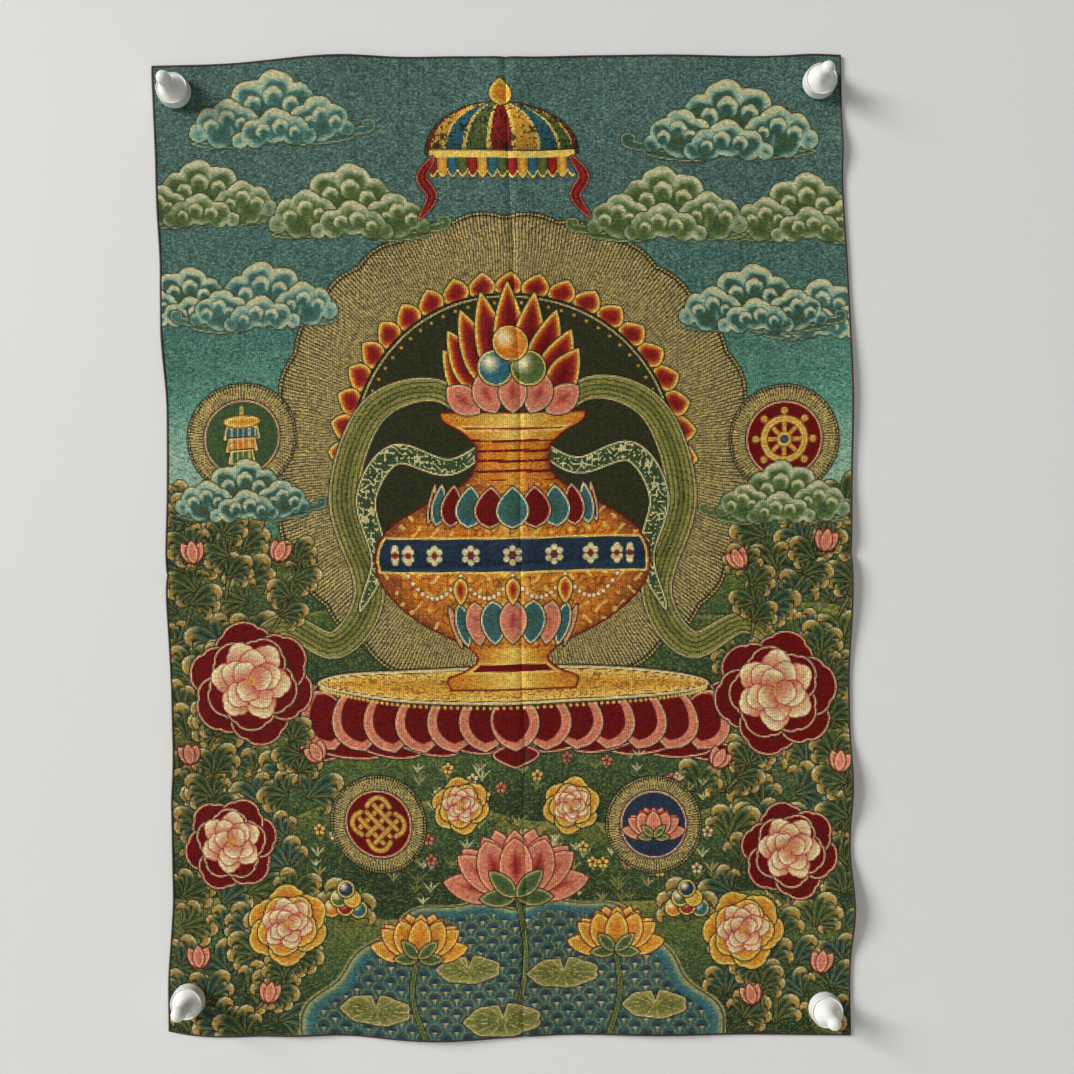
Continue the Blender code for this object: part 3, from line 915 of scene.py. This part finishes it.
def weave_pond(chart, at=(2, -304), half=128, tall=84):
    """The pond: under its bank, rows of overlapping round ripples, each row half a
    ripple aside from the one behind it, coloured by the depth inside a ripple."""
    cells, x, y = near(chart, at, half + 6)
    angle = np.arctan2(y + 40, x)
    rim = 1 + 0.05 * np.sin(7 * angle) + 0.02 * np.sin(19 * angle)
    depth = (rim - np.hypot(x / half, y / tall)) * tall
    pitch, rise = 14.0, 4.8
    ripple = np.full(x.shape, -1.0)
    for back in (3, 2, 1, 0):
        level = np.floor(y / rise) - back
        offset = (level % 2) * pitch / 2
        middle = np.round((x - offset) / pitch) * pitch + offset
        inner = 7.7 - np.hypot(x - middle, y - level * rise)
        ripple = np.where(inner > 0, inner, ripple)
    bank = banded(depth, ((0, "straw"), (1, "sage"), (3, "sea"), (6, "azure")))
    colour = np.where((depth < 6)[:, None], bank, banded(np.maximum(ripple, 0), POND_WATER))
    weave_in(chart, cells, 0.5 + (depth + 1.6) / CELL_MM, dye("straw"))
    lay(chart, cells, depth, colour, line="pine", width=0.8, raised=0.06)


def weave_pad(chart, at, size, flat=0.42):
    """A lily pad, round but seen low, with veins from its notch."""
    angles = np.linspace(0.12, 2 * np.pi - 0.12, 26)
    rim = np.column_stack((np.sin(angles), np.cos(angles) * flat)) * size
    shape = np.vstack((rim * (1 + 0.05 * np.sin(7 * angles))[:, None], [(0, 0.1 * size)]))
    veins = lambda x, y, d: (0.8 * (np.cos(np.arctan2(y / flat, x) * 13) > 0.86), "straw")
    motif(chart, at, shape, LILY_PAD, shade=veins, raised=0.1)


def weave_lotus(chart, at, size, bands=ROSE_PETAL):
    """An open lotus: a fan of outer petals, then the inner ones, over green sepals."""
    outer_root = np.array((0.12, 0)) * size
    for count, spread, length in ((6, 78, 1.0), (5, 52, 0.96)):
        shape = petal(size * length, size * 0.44)
        for share in outermost_first(np.linspace(-1, 1, count)):
            root = np.add(at, outer_root * share)
            motif(chart, root, shape, bands, -spread * share, line="maroon", raised=0.16)
    shape = petal(size * 0.86, size * 0.5, 1.0, 0.62)
    for i in (-1, 1, 0):
        root = np.add(at, (i * 0.2 * size, -0.02 * size))
        motif(chart, root, shape, bands, -i * 17, line="maroon", raised=0.2)
    for i in (-2, 2, -1, 1):
        root = np.add(at, (0, -0.04 * size))
        motif(chart, root, petal(size * 0.56, size * 0.26, 0.9, 0.75), GREEN_LEAF, -i * 46, raised=0.22)


def weave_stem(chart, start, end, lean):
    """A bare stem that bows sideways between two places."""
    path = curve((start, np.add(start, end) / 2 + (lean, 0), end))
    stroke(chart, (0, 0), path, 2.6, ((0, "straw"), (0.7, "leaf"), (2, "fern")), ends=(1, 1), line="ink")


def weave_meadow_flowers(chart, count=170):
    """Ticks of grass in the open meadow, at seeded places, every fifth of them under a
    small five-petalled flower."""
    draw = np.random.default_rng(21)
    for i in range(count):
        at = (draw.uniform(-128, 128), draw.uniform(-222, -132))
        size = draw.uniform(4, 7)
        thread = ("straw", "cream", "lime", "pine")[i % 4]
        for angle in (-26, 4, 30):
            tip = turned([(0, size)], -angle)[0]
            blade = [(0, 0), tip * 0.55 + (angle / 60, 0), tip + (angle / 18, 0)]
            stroke(chart, at, blade, 1.0, ((0, thread),), raised=0.05)
        if i % 5 == 0:
            top = np.add(at, (0, size))
            petals = [out_from(top, 2.3, 72 * k) for k in range(5)]
            dots(chart, petals, 1.35, ("cream", "rose", "lemon")[i % 3], line="ink", width=0.5)
            dots(chart, [top], 1.0, "crimson")


def weave_gem_heap(chart, at, size):
    """A heap of round jewels of many colours on a few leaves."""
    weave_tuft(chart, np.add(at, (0, -0.4 * size)), 1.4 * size, body="leaf")
    for x, y, thread in (
        (-0.9, 0, "orange"), (0.9, 0, "azure"), (0, 0.1, "crimson"), (-0.45, 0.62, "leaf"),
        (0.45, 0.62, "gold"), (0, 1.2, "navy"),
    ):
        gem(chart, np.add(at, (x * size * 0.55, y * size * 0.6)), 0.32 * size, thread, raised=0.24)


# u, v, reach, turn, tufts and size of each spray
SPRAYS = (
    (-204, -50, 66, 4, 5, 18), (-178, -30, 52, 14, 4, 16), (-150, -52, 46, -14, 4, 15),
    (-196, -128, 58, -10, 5, 18), (-208, -196, 60, -12, 5, 18), (-134, -150, 40, 24, 4, 15),
    (-160, -288, 52, -26, 4, 16), (206, -44, 60, -6, 5, 18), (178, -28, 46, -16, 4, 16),
    (152, -58, 44, 12, 4, 15), (198, -124, 58, 8, 5, 18), (208, -192, 60, 10, 5, 18),
    (136, -152, 40, -24, 4, 15), (160, -290, 52, 24, 4, 16),
)

# Place, width, kind and whether it is mirrored, for the clouds behind the halo, in front
# of it, and in front of the roundels
FAR_CLOUDS = (
    ((-142, 266), 98, "blue", False), ((146, 256), 104, "sage", True),
    ((-186, 216), 88, "green", True), ((190, 202), 88, "green", False),
    ((-198, 152), 78, "sage", False), ((200, 140), 76, "blue", True),
)
MIDDLE_CLOUDS = (
    ((-96, 206), 96, "green", False), ((104, 204), 96, "green", True),
    ((-150, 150), 88, "blue", True), ((154, 146), 88, "sage", False),
)
NEAR_CLOUDS = (((-168, 30), 80, "sage", False), ((172, 26), 80, "green", True))

# The right-hand scarves, from the middle of the halo outwards
OUTER_SCARF = ((14, 70), (48, 98), (88, 84), (106, 30), (90, -28), (112, -62), (146, -48), (176, -70))
INNER_SCARF = ((12, 66), (40, 50), (74, 58), (92, 30), (84, -8), (96, -40))

# Start, end and lean of each stem, then place and size of each pad
STEMS = (((2, -306), (2, -214), 8), ((-52, -306), (-58, -252), -6), ((62, -306), (66, -250), 6))
PADS = (((-26, -262), 20), ((34, -266), 22), ((-84, -288), 22), ((92, -286), 20), ((-4, -294), 24))

# Place, size, turn and threads of each peony, then place, size and turn of each bud
PEONIES = (
    ((-164, -84), 37, 10, MAROON_PETAL), ((168, -92), 37, -14, MAROON_PETAL),
    ((-178, -184), 28, 40, MAROON_PETAL), ((176, -190), 29, 15, MAROON_PETAL),
    ((-142, -236), 24, 5, GOLD_PETAL), ((146, -240), 24, 25, GOLD_PETAL),
    ((-32, -160), 17, 12, GOLD_PETAL), ((38, -162), 17, -10, GOLD_PETAL),
)
BUDS = (
    ((-198, -8), 14, 6), ((-146, -8), 13, -20), ((198, -4), 14, -8), ((146, -14), 13, 24),
    ((-122, -134), 13, 30), ((128, -138), 13, -30), ((-204, -134), 13, 10), ((206, -140), 13, -12),
    ((-196, -262), 14, 8), ((196, -266), 14, -6), ((-152, -284), 13, -10), ((154, -286), 13, 14),
)


def weave_small_lotus(chart, at, r):
    """Emblem: an open lotus."""
    weave_lotus(chart, np.add(at, (0, -0.5 * r)), 1.3 * r)


# Place, radius, emblem, its size and the ground under it, for each roundel
ROUNDELS = (
    ((-168, 70), 34, weave_banner, 15, "fern"),
    ((172, 66), 34, weave_wheel, 16, "maroon"),
    ((-84, -172), 30, weave_knot, 14, "maroon"),
    ((90, -174), 30, weave_small_lotus, 14, "navy"),
)


def weave_each(chart, weave, rows):
    """Weaves one motif for each row of what it is given."""
    for row in rows:
        weave(chart, *row)


def weave_picture(chart):
    """The whole picture, from what lies furthest back to what lies in front."""
    weave_land(chart)
    weave_each(chart, weave_cloud, FAR_CLOUDS)
    weave_halo(chart)
    weave_each(chart, weave_cloud, MIDDLE_CLOUDS)
    weave_nimbus(chart)
    weave_parasol(chart)
    weave_thicket(chart)
    for side in (-1, 1):
        outer, inner = (np.array(scarf) * (side, 1) + (2, 0) for scarf in (OUTER_SCARF, INNER_SCARF))
        weave_scarf(chart, outer, 19)
        weave_scarf(chart, inner, 13, BROCADE_BANDS, ribs=0, pattern=3.4)
    weave_throne(chart)
    weave_vase(chart)
    weave_jewels(chart, (2, 96), 52)
    weave_meadow_flowers(chart)
    weave_pond(chart)
    weave_each(chart, weave_spray, SPRAYS)
    for at, radius, emblem, size, field in ROUNDELS:
        weave_roundel(chart, at, radius, field)
        emblem(chart, at, size)
    weave_each(chart, weave_cloud, NEAR_CLOUDS)
    weave_each(chart, weave_stem, STEMS)
    weave_each(chart, weave_pad, PADS)
    weave_lotus(chart, (2, -216), 42)
    weave_lotus(chart, (-58, -254), 28, GOLD_PETAL)
    weave_lotus(chart, (66, -252), 28, GOLD_PETAL)
    for side in (-1, 1):
        weave_gem_heap(chart, (2 + side * 108, -226), 17)
    weave_each(chart, weave_peony, PEONIES)
    weave_each(chart, weave_bud, BUDS)


def mottle_and_painted_glints(chart, columns):
    """How the weave's threads vary, with painted glints: runs of two cells along the weft are lighter or
    darker, single cells lean to warm or cool thread, and a few cells of gilt ground are tinted lemon as
    painted glints."""
    grain = chart.noise.reshape(-1, columns)
    runs = grain + 0.8 * np.roll(grain, 1, 1)
    runs = (runs - runs.mean()) / runs.std()
    lean = np.roll(grain, 3, 0).ravel() - 0.5
    light = chart.colour.mean(axis=1, keepdims=True)
    chart.colour *= 1 + (0.11 - 0.06 * light) * runs.reshape(-1, 1)
    chart.colour += lean[:, None] * np.array((0.07, 0.02, -0.07)) * np.sqrt(light)
    # Painted glints: a few cells of gilt ground tinted lemon, standing in for highlights off the gilt thread
    glint = ((np.roll(grain, 7, 0).ravel() > 0.96) & (chart.gold > 0.3)) * 0.45
    chart.colour = np.clip(tint(chart.colour, glint, "lemon"), 0.01, 1)


def linear(colour):
    """sRGB shares of full brightness turned into linear light."""
    colour = np.asarray(colour, float)
    return np.where(colour <= 0.04045, colour / 12.92, ((colour + 0.055) / 1.055) ** 2.4)


def hex_colour(code):
    """An sRGB hex code as a linear colour with its alpha."""
    return (*linear(brightness(code)), 1.0)


def add_node(tree, kind, inputs=(), **settings):
    """Adds a node. Settings are its own properties. An input that is given a socket is
    linked to it, and one that is given a value keeps that."""
    made = tree.nodes.new("ShaderNode" + kind)
    for name, value in settings.items():
        setattr(made, name, value)
    for key, value in dict(inputs).items():
        if isinstance(value, bpy.types.NodeSocket):
            tree.links.new(value, made.inputs[key])
        else:
            made.inputs[key].default_value = value
    return made


def new_material(name, **sockets):
    """A material with one Principled shader, whose named sockets are set."""
    made = bpy.data.materials.new(name)
    made.use_nodes = True
    shader = made.node_tree.nodes["Principled BSDF"]
    for key, value in sockets.items():
        shader.inputs[key.replace("_", " ")].default_value = value
    return made, made.node_tree, shader


def per_metre(pitch_mm):
    """How many times a pattern of this pitch repeats in a metre."""
    return 1000 / pitch_mm


def rib_scale(pitch_mm):
    """The scale of a Wave texture whose bands have this pitch."""
    return 2 * np.pi / 20 * per_metre(pitch_mm)


def fine_noise(tree, place, pitch_mm, detail):
    """Noise whose features are about this far apart."""
    sockets = {"Vector": place, "Scale": per_metre(pitch_mm), "Detail": detail}
    return add_node(tree, "TexNoise", sockets).outputs["Fac"]


def spread(tree, share, low, high, start=0.3, end=0.7):
    """A share from start to end spread from low to high. Noise lies mostly in the
    range from 0.3 to 0.7."""
    return add_node(tree, "MapRange", {0: share, 1: start, 2: end, 3: low, 4: high}).outputs[0]


def combine(tree, operation, first, second):
    """Two values multiplied or added."""
    return add_node(tree, "Math", {0: first, 1: second}, operation=operation).outputs[0]


def between(tree, share, first, second):
    """A colour that goes from one hex code to another with a share."""
    sockets = {"Factor": share, 6: hex_colour(first), 7: hex_colour(second)}
    return add_node(tree, "Mix", sockets, data_type="RGBA").outputs[2]


def close_shader(tree, shader, height, strength, depth_mm, **links):
    """Links sockets of a shader, and gives its surface a relief this deep."""
    sockets = {"Strength": strength, "Distance": depth_mm * MM, "Height": height}
    links["Normal"] = add_node(tree, "Bump", sockets).outputs[0]
    for key, value in links.items():
        tree.links.new(value, shader.inputs[key.replace("_", " ")])


def woven_silk(name, attribute, speckle):
    """Jacquard brocade, woven in dyed silk with gilt threads: each cell's colour comes
    from the weave chart, broken up by runs of thread and ribbed along the weft."""
    made, tree, shader = new_material(
        name, Sheen_Weight=0.02, Sheen_Roughness=0.4, Specular_IOR_Level=0.08, IOR=1.54
    )
    place = add_node(tree, "TexCoord").outputs["Object"]
    thread = add_node(tree, "Attribute", attribute_name=attribute)
    # Runs of weft thread are about 1.3 mm long and 0.8 mm high: coarser than the real
    # 0.3 mm threads, which a render can't show
    runs = add_node(tree, "Mapping", {"Vector": place, "Scale": [per_metre(mm) for mm in (1.3, 2, 0.8)]})
    sockets = {"Vector": runs.outputs[0], "Scale": 1.0, "Detail": 1.5, "Roughness": 0.6}
    run_noise = add_node(tree, "TexNoise", sockets).outputs["Fac"]
    light = spread(tree, run_noise, 1 - speckle, 1 + speckle)
    # Slow change of tone, as dye and handling leave it, over about 60 mm
    tone = spread(tree, fine_noise(tree, place, 60, 2.0), 0.94, 1.06)
    both = combine(tree, "MULTIPLY", light, tone)
    lit = add_node(tree, "VectorMath", {0: thread.outputs["Color"], "Scale": both}, operation="SCALE")
    # Gilt thread is part metal, and smoother than silk
    gilt = thread.outputs["Alpha"]
    metallic = spread(tree, gilt, 0.0, 0.45, 0.0, 1.0)
    rough = combine(tree, "MULTIPLY", spread(tree, gilt, 0.66, 0.40, 0.0, 1.0), light)
    ribs = []
    for direction, pitch_mm, wander in (("Z", 1.0, 1.2), ("X", 1.3, 0.8)):
        sockets = {"Vector": place, "Scale": rib_scale(pitch_mm), "Distortion": wander}
        sockets.update({"Detail": 1.0, "Detail Scale": 0.3})
        ribs.append(add_node(tree, "TexWave", sockets, bands_direction=direction).outputs["Fac"])
    height = combine(tree, "ADD", combine(tree, "MULTIPLY", *ribs), run_noise)
    links = {"Base_Color": lit.outputs["Vector"], "Metallic": metallic, "Roughness": rough}
    close_shader(tree, shader, height, 0.55, 0.25, **links)
    return made


def overlock_thread():
    """Overlocked polyester thread: dark, close loops with a faint shine on their crowns."""
    made, tree, shader = new_material("overlock_thread", Roughness=0.62, Sheen_Weight=0.15, IOR=1.5)
    place = add_node(tree, "TexCoord").outputs["Object"]
    fibre = fine_noise(tree, place, 0.7, 2.0)
    close_shader(tree, shader, fibre, 0.5, 0.15, Base_Color=between(tree, fibre, "#150c0b", "#3a1b17"))
    return made


def moulded_plastic():
    """Injection-moulded polystyrene: clean white and glossy, with faint flow marks."""
    made, tree, shader = new_material("moulded_white_plastic", IOR=1.59, Subsurface_Weight=0.06)
    shader.inputs["Subsurface Radius"].default_value = (2 * MM, 2 * MM, 2 * MM)
    shader.inputs["Subsurface Scale"].default_value = 1.0
    place = add_node(tree, "TexCoord").outputs["Object"]
    flow = fine_noise(tree, place, 7, 2.0)
    colour = between(tree, flow, "#dcdcd6", "#e5e5df")
    rough = spread(tree, flow, 0.16, 0.26)
    grain = fine_noise(tree, place, 1.2, 1.0)
    close_shader(tree, shader, grain, 0.06, 0.05, Base_Color=colour, Roughness=rough)
    return made


def grid_faces(rows, columns, closed_rows=False):
    """The four corners of each face of a grid of points, row by row. closed_rows joins
    the last row to the first."""
    down = np.arange(rows if closed_rows else rows - 1)[:, None]
    right = np.arange(columns - 1)[None, :]
    below = (down + 1) % rows
    first = down * columns + right
    second = below * columns + right
    return np.stack((first, second, second + 1, first + 1), axis=-1).reshape(-1, 4)


def make_piece(name, points_mm, faces, material, smooth=True):
    """An object at the origin, from points in mm and faces of four corners each."""
    mesh = bpy.data.meshes.new(name)
    mesh.vertices.add(len(points_mm))
    mesh.vertices.foreach_set("co", (np.asarray(points_mm) * MM).astype(np.float32).ravel())
    mesh.loops.add(faces.size)
    mesh.loops.foreach_set("vertex_index", faces.ravel().astype(np.int32))
    mesh.polygons.add(len(faces))
    mesh.polygons.foreach_set("loop_start", np.arange(0, faces.size, 4, dtype=np.int32))
    mesh.update(calc_edges=True)
    mesh.validate()
    mesh.polygons.foreach_set("use_smooth", np.full(len(faces), smooth))
    mesh.materials.append(material)
    made = bpy.data.objects.new(name, mesh)
    bpy.context.scene.collection.objects.link(made)
    return made


def colour_faces(piece, name, colour, share):
    """Stores a linear colour, and a share as its alpha, at every corner of each face."""
    corners = np.repeat(np.column_stack((colour, share)), 4, axis=0).astype(np.float32)
    made = piece.data.color_attributes.new(name, "FLOAT_COLOR", "CORNER")
    made.data.foreach_set("color", corners.ravel())


def colour_points(piece, name, colour):
    """Stores a linear colour at every point, between which a face's colour changes."""
    shown = np.column_stack((colour, np.zeros(len(colour)))).astype(np.float32)
    made = piece.data.color_attributes.new(name, "FLOAT_COLOR", "POINT")
    made.data.foreach_set("color", shown.ravel())


def box_mean(grid, rows_at, columns_at, reach):
    """The mean of a grid's cells within reach of each place, from its running sums."""
    sums = np.pad(grid.cumsum(0).cumsum(1), ((1, 0), (1, 0), (0, 0)))
    low, high = (np.clip(rows_at + step, 0, grid.shape[0]) for step in (-reach, reach))
    left, right = (np.clip(columns_at + step, 0, grid.shape[1]) for step in (-reach, reach))
    total = sums[np.ix_(high, right)] - sums[np.ix_(low, right)]
    total = total - sums[np.ix_(high, left)] + sums[np.ix_(low, left)]
    return total / ((high - low)[:, None, None] * (right - left)[None, :, None])


def woven_face(silk):
    """The woven picture, in four pieces that meet on the two creases.

    Each point lies at the outline's place for its share across and down, in front of
    the sheet's back by the lift, the cloth's thickness and the relief of the threads
    round it, which a magnet presses flat.
    """
    across, down = folded_lines(CHART_COLUMNS, CHART_ROWS)
    x_mm, z_mm = outline(across, down)
    centre_across = (across[:-1, :-1] + across[1:, 1:]) / 2
    centre_down = (down[:-1, :-1] + down[1:, 1:]) / 2
    u_mm = (centre_across - 0.5) * SHEET_WIDTH_MM
    v_mm = (0.5 - centre_down) * SHEET_HEIGHT_MM
    chart = blank_chart(u_mm.ravel(), v_mm.ravel())
    weave_picture(chart)
    mottle_and_painted_glints(chart, CHART_COLUMNS)
    raised = np.pad(chart.raised.reshape(CHART_ROWS, CHART_COLUMNS), 1, mode="edge")
    relief = (raised[:-1, :-1] + raised[1:, :-1] + raised[:-1, 1:] + raised[1:, 1:]) / 4
    relief *= pressed(x_mm, z_mm, *RELIEF_PRESSED_MM)
    front_mm = lift(across, down) + SHEET_THICKNESS_MM + relief
    points = np.stack((x_mm, -front_mm, z_mm), axis=-1)
    colour = linear(chart.colour).reshape(CHART_ROWS, CHART_COLUMNS, 3)
    gold = chart.gold.reshape(CHART_ROWS, CHART_COLUMNS)
    middle_row = CHART_ROWS // 2
    middle_column = CHART_COLUMNS // 2
    pieces = []
    for upright, low, high in (("upper", 0, middle_row), ("lower", middle_row, CHART_ROWS)):
        for level, start, end in (("left", 0, middle_column), ("right", middle_column, CHART_COLUMNS)):
            part = points[low : high + 1, start : end + 1]
            faces = grid_faces(high - low + 1, end - start + 1)
            made = make_piece(f"woven_picture_{upright}_{level}", part.reshape(-1, 3), faces, silk)
            colour_faces(
                made,
                "thread",
                colour[low:high, start:end].reshape(-1, 3),
                gold[low:high, start:end].ravel(),
            )
            pieces.append(made)
    return pieces, colour


# On the back, how much of the ground's thread and of the face's colours shows
GROUND_SHARE = 0.6
GHOST_SHARE = 0.36


def base_cloth(silk, face_colour):
    """The cloth under the woven face, closed all round: its back, where the threads
    that the face leaves out float, and the ground that carries the face.

    It is one grid carried round the edge: front rows downwards, then back rows upwards.
    """
    across, down = folded_lines(BASE_COLUMNS, BASE_ROWS)
    x_mm, z_mm = outline(across, down)
    back_mm = lift(across, down)
    front_mm = back_mm + SHEET_THICKNESS_MM - FACE_ABOVE_BASE_MM
    front, back = (np.stack((x_mm, -y_mm, z_mm), axis=-1).reshape(-1, 3) for y_mm in (front_mm, back_mm))
    count = len(front)
    front_faces = grid_faces(BASE_ROWS + 1, BASE_COLUMNS + 1)
    index = np.arange(count).reshape(BASE_ROWS + 1, BASE_COLUMNS + 1)
    rim = np.concatenate((index[0, :], index[1:, -1], index[-1, -2::-1], index[-2:0:-1, 0]))
    following = np.roll(rim, -1)
    rim_faces = np.stack((rim, following, following + count, rim + count), axis=-1)
    faces = np.concatenate((front_faces, front_faces[:, ::-1] + count, rim_faces))
    made = make_piece("silk_base_cloth", np.concatenate((front, back)), faces, silk)
    rows_at = np.linspace(0, CHART_ROWS, BASE_ROWS + 1).astype(int)
    columns_at = np.linspace(0, CHART_COLUMNS, BASE_COLUMNS + 1).astype(int)
    ghost = box_mean(face_colour, rows_at, columns_at, 2).reshape(-1, 3)
    reverse = GROUND_SHARE * linear(dye("khaki")) + GHOST_SHARE * ghost
    colour_points(made, "reverse", np.concatenate((ghost, reverse)))
    return made


STITCH_MM = 1.7
POINTS_A_STITCH = 4
POINTS_ROUND_THREAD = 7
RIM_HALF_WIDE_MM = 0.72
RIM_HALF_THICK_MM = 0.80
RIM_INSET_MM = 0.45
RIM_SAMPLES_A_SIDE = 400


def overlocked_edge(thread):
    """The overlocked rim: a flattened ring of thread round the cloth's edge.

    Its section is an ellipse. Loops swell it by the height of a sine that runs along
    the edge and slants round the section, one loop to each stitch.
    """
    share = np.linspace(0, 1, RIM_SAMPLES_A_SIDE, endpoint=False)
    nothing, everything = np.zeros_like(share), np.ones_like(share)
    across = np.concatenate((share, everything, 1 - share, nothing))
    down = np.concatenate((nothing, share, everything, 1 - share))
    x_mm, z_mm = outline(across, down)
    middle_mm = lift(across, down) + SHEET_THICKNESS_MM / 2
    ring = np.column_stack((x_mm, -middle_mm, z_mm))
    ring = np.vstack((ring, ring[:1]))
    gone = np.concatenate(((0,), np.cumsum(np.linalg.norm(np.diff(ring, axis=0), axis=1))))
    stitches = int(gone[-1] / STITCH_MM)
    at = np.linspace(0, gone[-1], stitches * POINTS_A_STITCH, endpoint=False)
    path = np.column_stack([np.interp(at, gone, ring[:, k]) for k in range(3)])
    inward = np.column_stack((-path[:, 0], np.zeros(len(path)), -SHEET_HEIGHT_MM / 2 - path[:, 2]))
    ahead = np.roll(path, -1, 0) - np.roll(path, 1, 0)
    ahead /= np.linalg.norm(ahead, axis=1)[:, None]
    inward -= (inward * ahead).sum(1)[:, None] * ahead
    inward[:, 1] = 0
    inward /= np.linalg.norm(inward, axis=1)[:, None]
    angle = np.linspace(0, 2 * np.pi, POINTS_ROUND_THREAD + 1)
    loop = at[:, None] / gone[-1] * stitches * 2 * np.pi + 1.1 * np.cos(angle)[None, :]
    swell = 1 + 0.2 * np.abs(np.sin(loop / 2))
    wide = RIM_HALF_WIDE_MM * swell * np.cos(angle)
    points = path[:, None, :] + inward[:, None, :] * (wide + RIM_INSET_MM)[..., None]
    points[..., 1] += RIM_HALF_THICK_MM * swell * np.sin(angle)
    faces = grid_faces(len(path), POINTS_ROUND_THREAD + 1, closed_rows=True)
    return make_piece("overlocked_edge", points.reshape(-1, 3), faces, thread)


def cone_magnet(corner, plastic):
    """A cone magnet's shell: its outline turned about the axis that stands on the cloth.

    The outline is the smooth curve through its rings, by the length run along it.
    """
    radius, height = np.array(MAGNET_OUTLINE, float).T
    run = np.concatenate(((0,), np.cumsum(np.hypot(np.diff(radius), np.diff(height)))))
    fine = np.unique(np.concatenate((np.linspace(0, run[-1], MAGNET_RINGS), run)))
    radius = np.maximum(smooth_through(np.column_stack((run, radius)), fine), 0)
    height = smooth_through(np.column_stack((run, height)), fine)
    radius[0] = 0
    radius = np.append(radius, 0)
    height = np.append(height, 0)
    angle = np.linspace(0, 2 * np.pi, MAGNET_SECTORS + 1)
    x_mm = corner.x_mm + radius[:, None] * np.cos(angle)
    z_mm = corner.z_mm + radius[:, None] * np.sin(angle)
    base_mm = SHEET_THICKNESS_MM + TOUCHING_GAP_MM
    y_mm = np.broadcast_to(-(base_mm + height)[:, None], x_mm.shape)
    points = np.stack((x_mm, y_mm, z_mm), axis=-1)
    faces = grid_faces(len(radius), len(angle))
    made = make_piece("turned_" + corner.name, points.reshape(-1, 3), faces, plastic)
    merge_doubles(made)
    return made


MERGE_MM = 0.002


def merge_doubles(piece):
    """Closes the seam and the poles of a turned shape, and points its faces outwards."""
    shape = bmesh.new()
    shape.from_mesh(piece.data)
    bmesh.ops.remove_doubles(shape, verts=shape.verts, dist=MERGE_MM * MM)
    bmesh.ops.recalc_face_normals(shape, faces=shape.faces)
    shape.to_mesh(piece.data)
    shape.free()


# In metres
WALL_Y = 0.0008
WALL_TOP_Z = 1.3
FLOOR_Z = -1.05
PICTURE_MIDDLE = (0, 0, -0.3)
CAMERA_PLACE = (0.018, -0.650, -0.300)


def stage_material(name, colour, one_sided=False):
    """Plain matt paint. one_sided leaves the back of it out of sight."""
    made, tree, shader = new_material(name, Roughness=0.6)
    shader.inputs["Base Color"].default_value = hex_colour(colour)
    if one_sided:
        away = add_node(tree, "NewGeometry").outputs["Backfacing"]
        clear = add_node(tree, "BsdfTransparent")
        shown = add_node(tree, "MixShader", {0: away, 1: shader.outputs[0], 2: clear.outputs[0]})
        tree.links.new(shown.outputs[0], tree.nodes["Material Output"].inputs["Surface"])
    return made


def stage_plane(name, corners, material):
    """A plane of the stage through four corners, in metres."""
    made = make_piece(name, np.array(corners) / MM, np.array([(0, 1, 2, 3)]), material, smooth=False)
    return made


def soft_light(name, place, size, power):
    """A square area light at a place, turned to the picture, in metres and watts."""
    lamp = bpy.data.lights.new(name, "AREA")
    lamp.shape = "SQUARE"
    lamp.size = size
    lamp.energy = power
    made = bpy.data.objects.new(name, lamp)
    made.location = place
    made.rotation_euler = (Vector(PICTURE_MIDDLE) - Vector(place)).to_track_quat("-Z", "Y").to_euler()
    bpy.context.scene.collection.objects.link(made)


def make_stage():
    """The wall's plane behind the cloth, the floor below the picture, and the lights."""
    wall = stage_plane(
        "backdrop",
        ((-2, WALL_Y, FLOOR_Z), (2, WALL_Y, FLOOR_Z), (2, WALL_Y, WALL_TOP_Z), (-2, WALL_Y, WALL_TOP_Z)),
        stage_material("pale_wall_paint", "#dcdcda", one_sided=True),
    )
    wall.visible_shadow = False
    stage_plane(
        "floor",
        ((-2, -2.5, FLOOR_Z), (2, -2.5, FLOOR_Z), (2, 1.5, FLOOR_Z), (-2, 1.5, FLOOR_Z)),
        stage_material("pale_floor_paint", "#bdbdbb"),
    )
    # The window gives the soft shadows to the right, and the fills only lighten them
    soft_light("window_light", (-6.5, -3.8, 2.6), 3.2, 778)
    soft_light("room_fill", (0.9, -2.4, 0.1), 1.8, 5)
    soft_light("rear_fill", (0.3, 1.3, -0.2), 1.0, 20)
    world = bpy.data.worlds.new("pale_room")
    world.use_nodes = True
    sky = world.node_tree.nodes["Background"]
    sky.inputs["Color"].default_value = hex_colour("#ecebe8")
    sky.inputs["Strength"].default_value = 0.235
    bpy.context.scene.world = world
    bpy.context.scene.view_settings.view_transform = "Standard"


PHOTO_PIXELS = 1074
FOCAL_PIXELS = 1040


def make_camera():
    """The photograph's view: square on, 0.65 m off, with the focal length that gives
    the magnets their lean away from the middle."""
    lens = bpy.data.cameras.new("camera")
    lens.sensor_width = 36
    lens.lens = lens.sensor_width * FOCAL_PIXELS / PHOTO_PIXELS
    made = bpy.data.objects.new("camera", lens)
    made.location = CAMERA_PLACE
    made.rotation_euler = (np.pi / 2, 0, 0)
    bpy.context.scene.collection.objects.link(made)
    bpy.context.scene.camera = made


def dress():
    """Makes every piece, sets it on the body it rides on, and hides the part of model.glb that it takes the
    place of.
    """
    silk = woven_silk("jacquard_silk_brocade", "thread", 0.17)
    reverse = woven_silk("brocade_reverse", "reverse", 0.36)
    thread = overlock_thread()
    plastic = moulded_plastic()
    quarters, face_colour = woven_face(silk)
    base = base_cloth(reverse, face_colour)
    rim = overlocked_edge(thread)
    for piece in (*quarters, base, rim):
        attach(piece, "root")
    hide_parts("cloth")
    for corner in MAGNETS:
        magnet = cone_magnet(corner, plastic)
        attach(magnet, "root")
        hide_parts(corner.name)


make_stage()
make_camera()
dress()
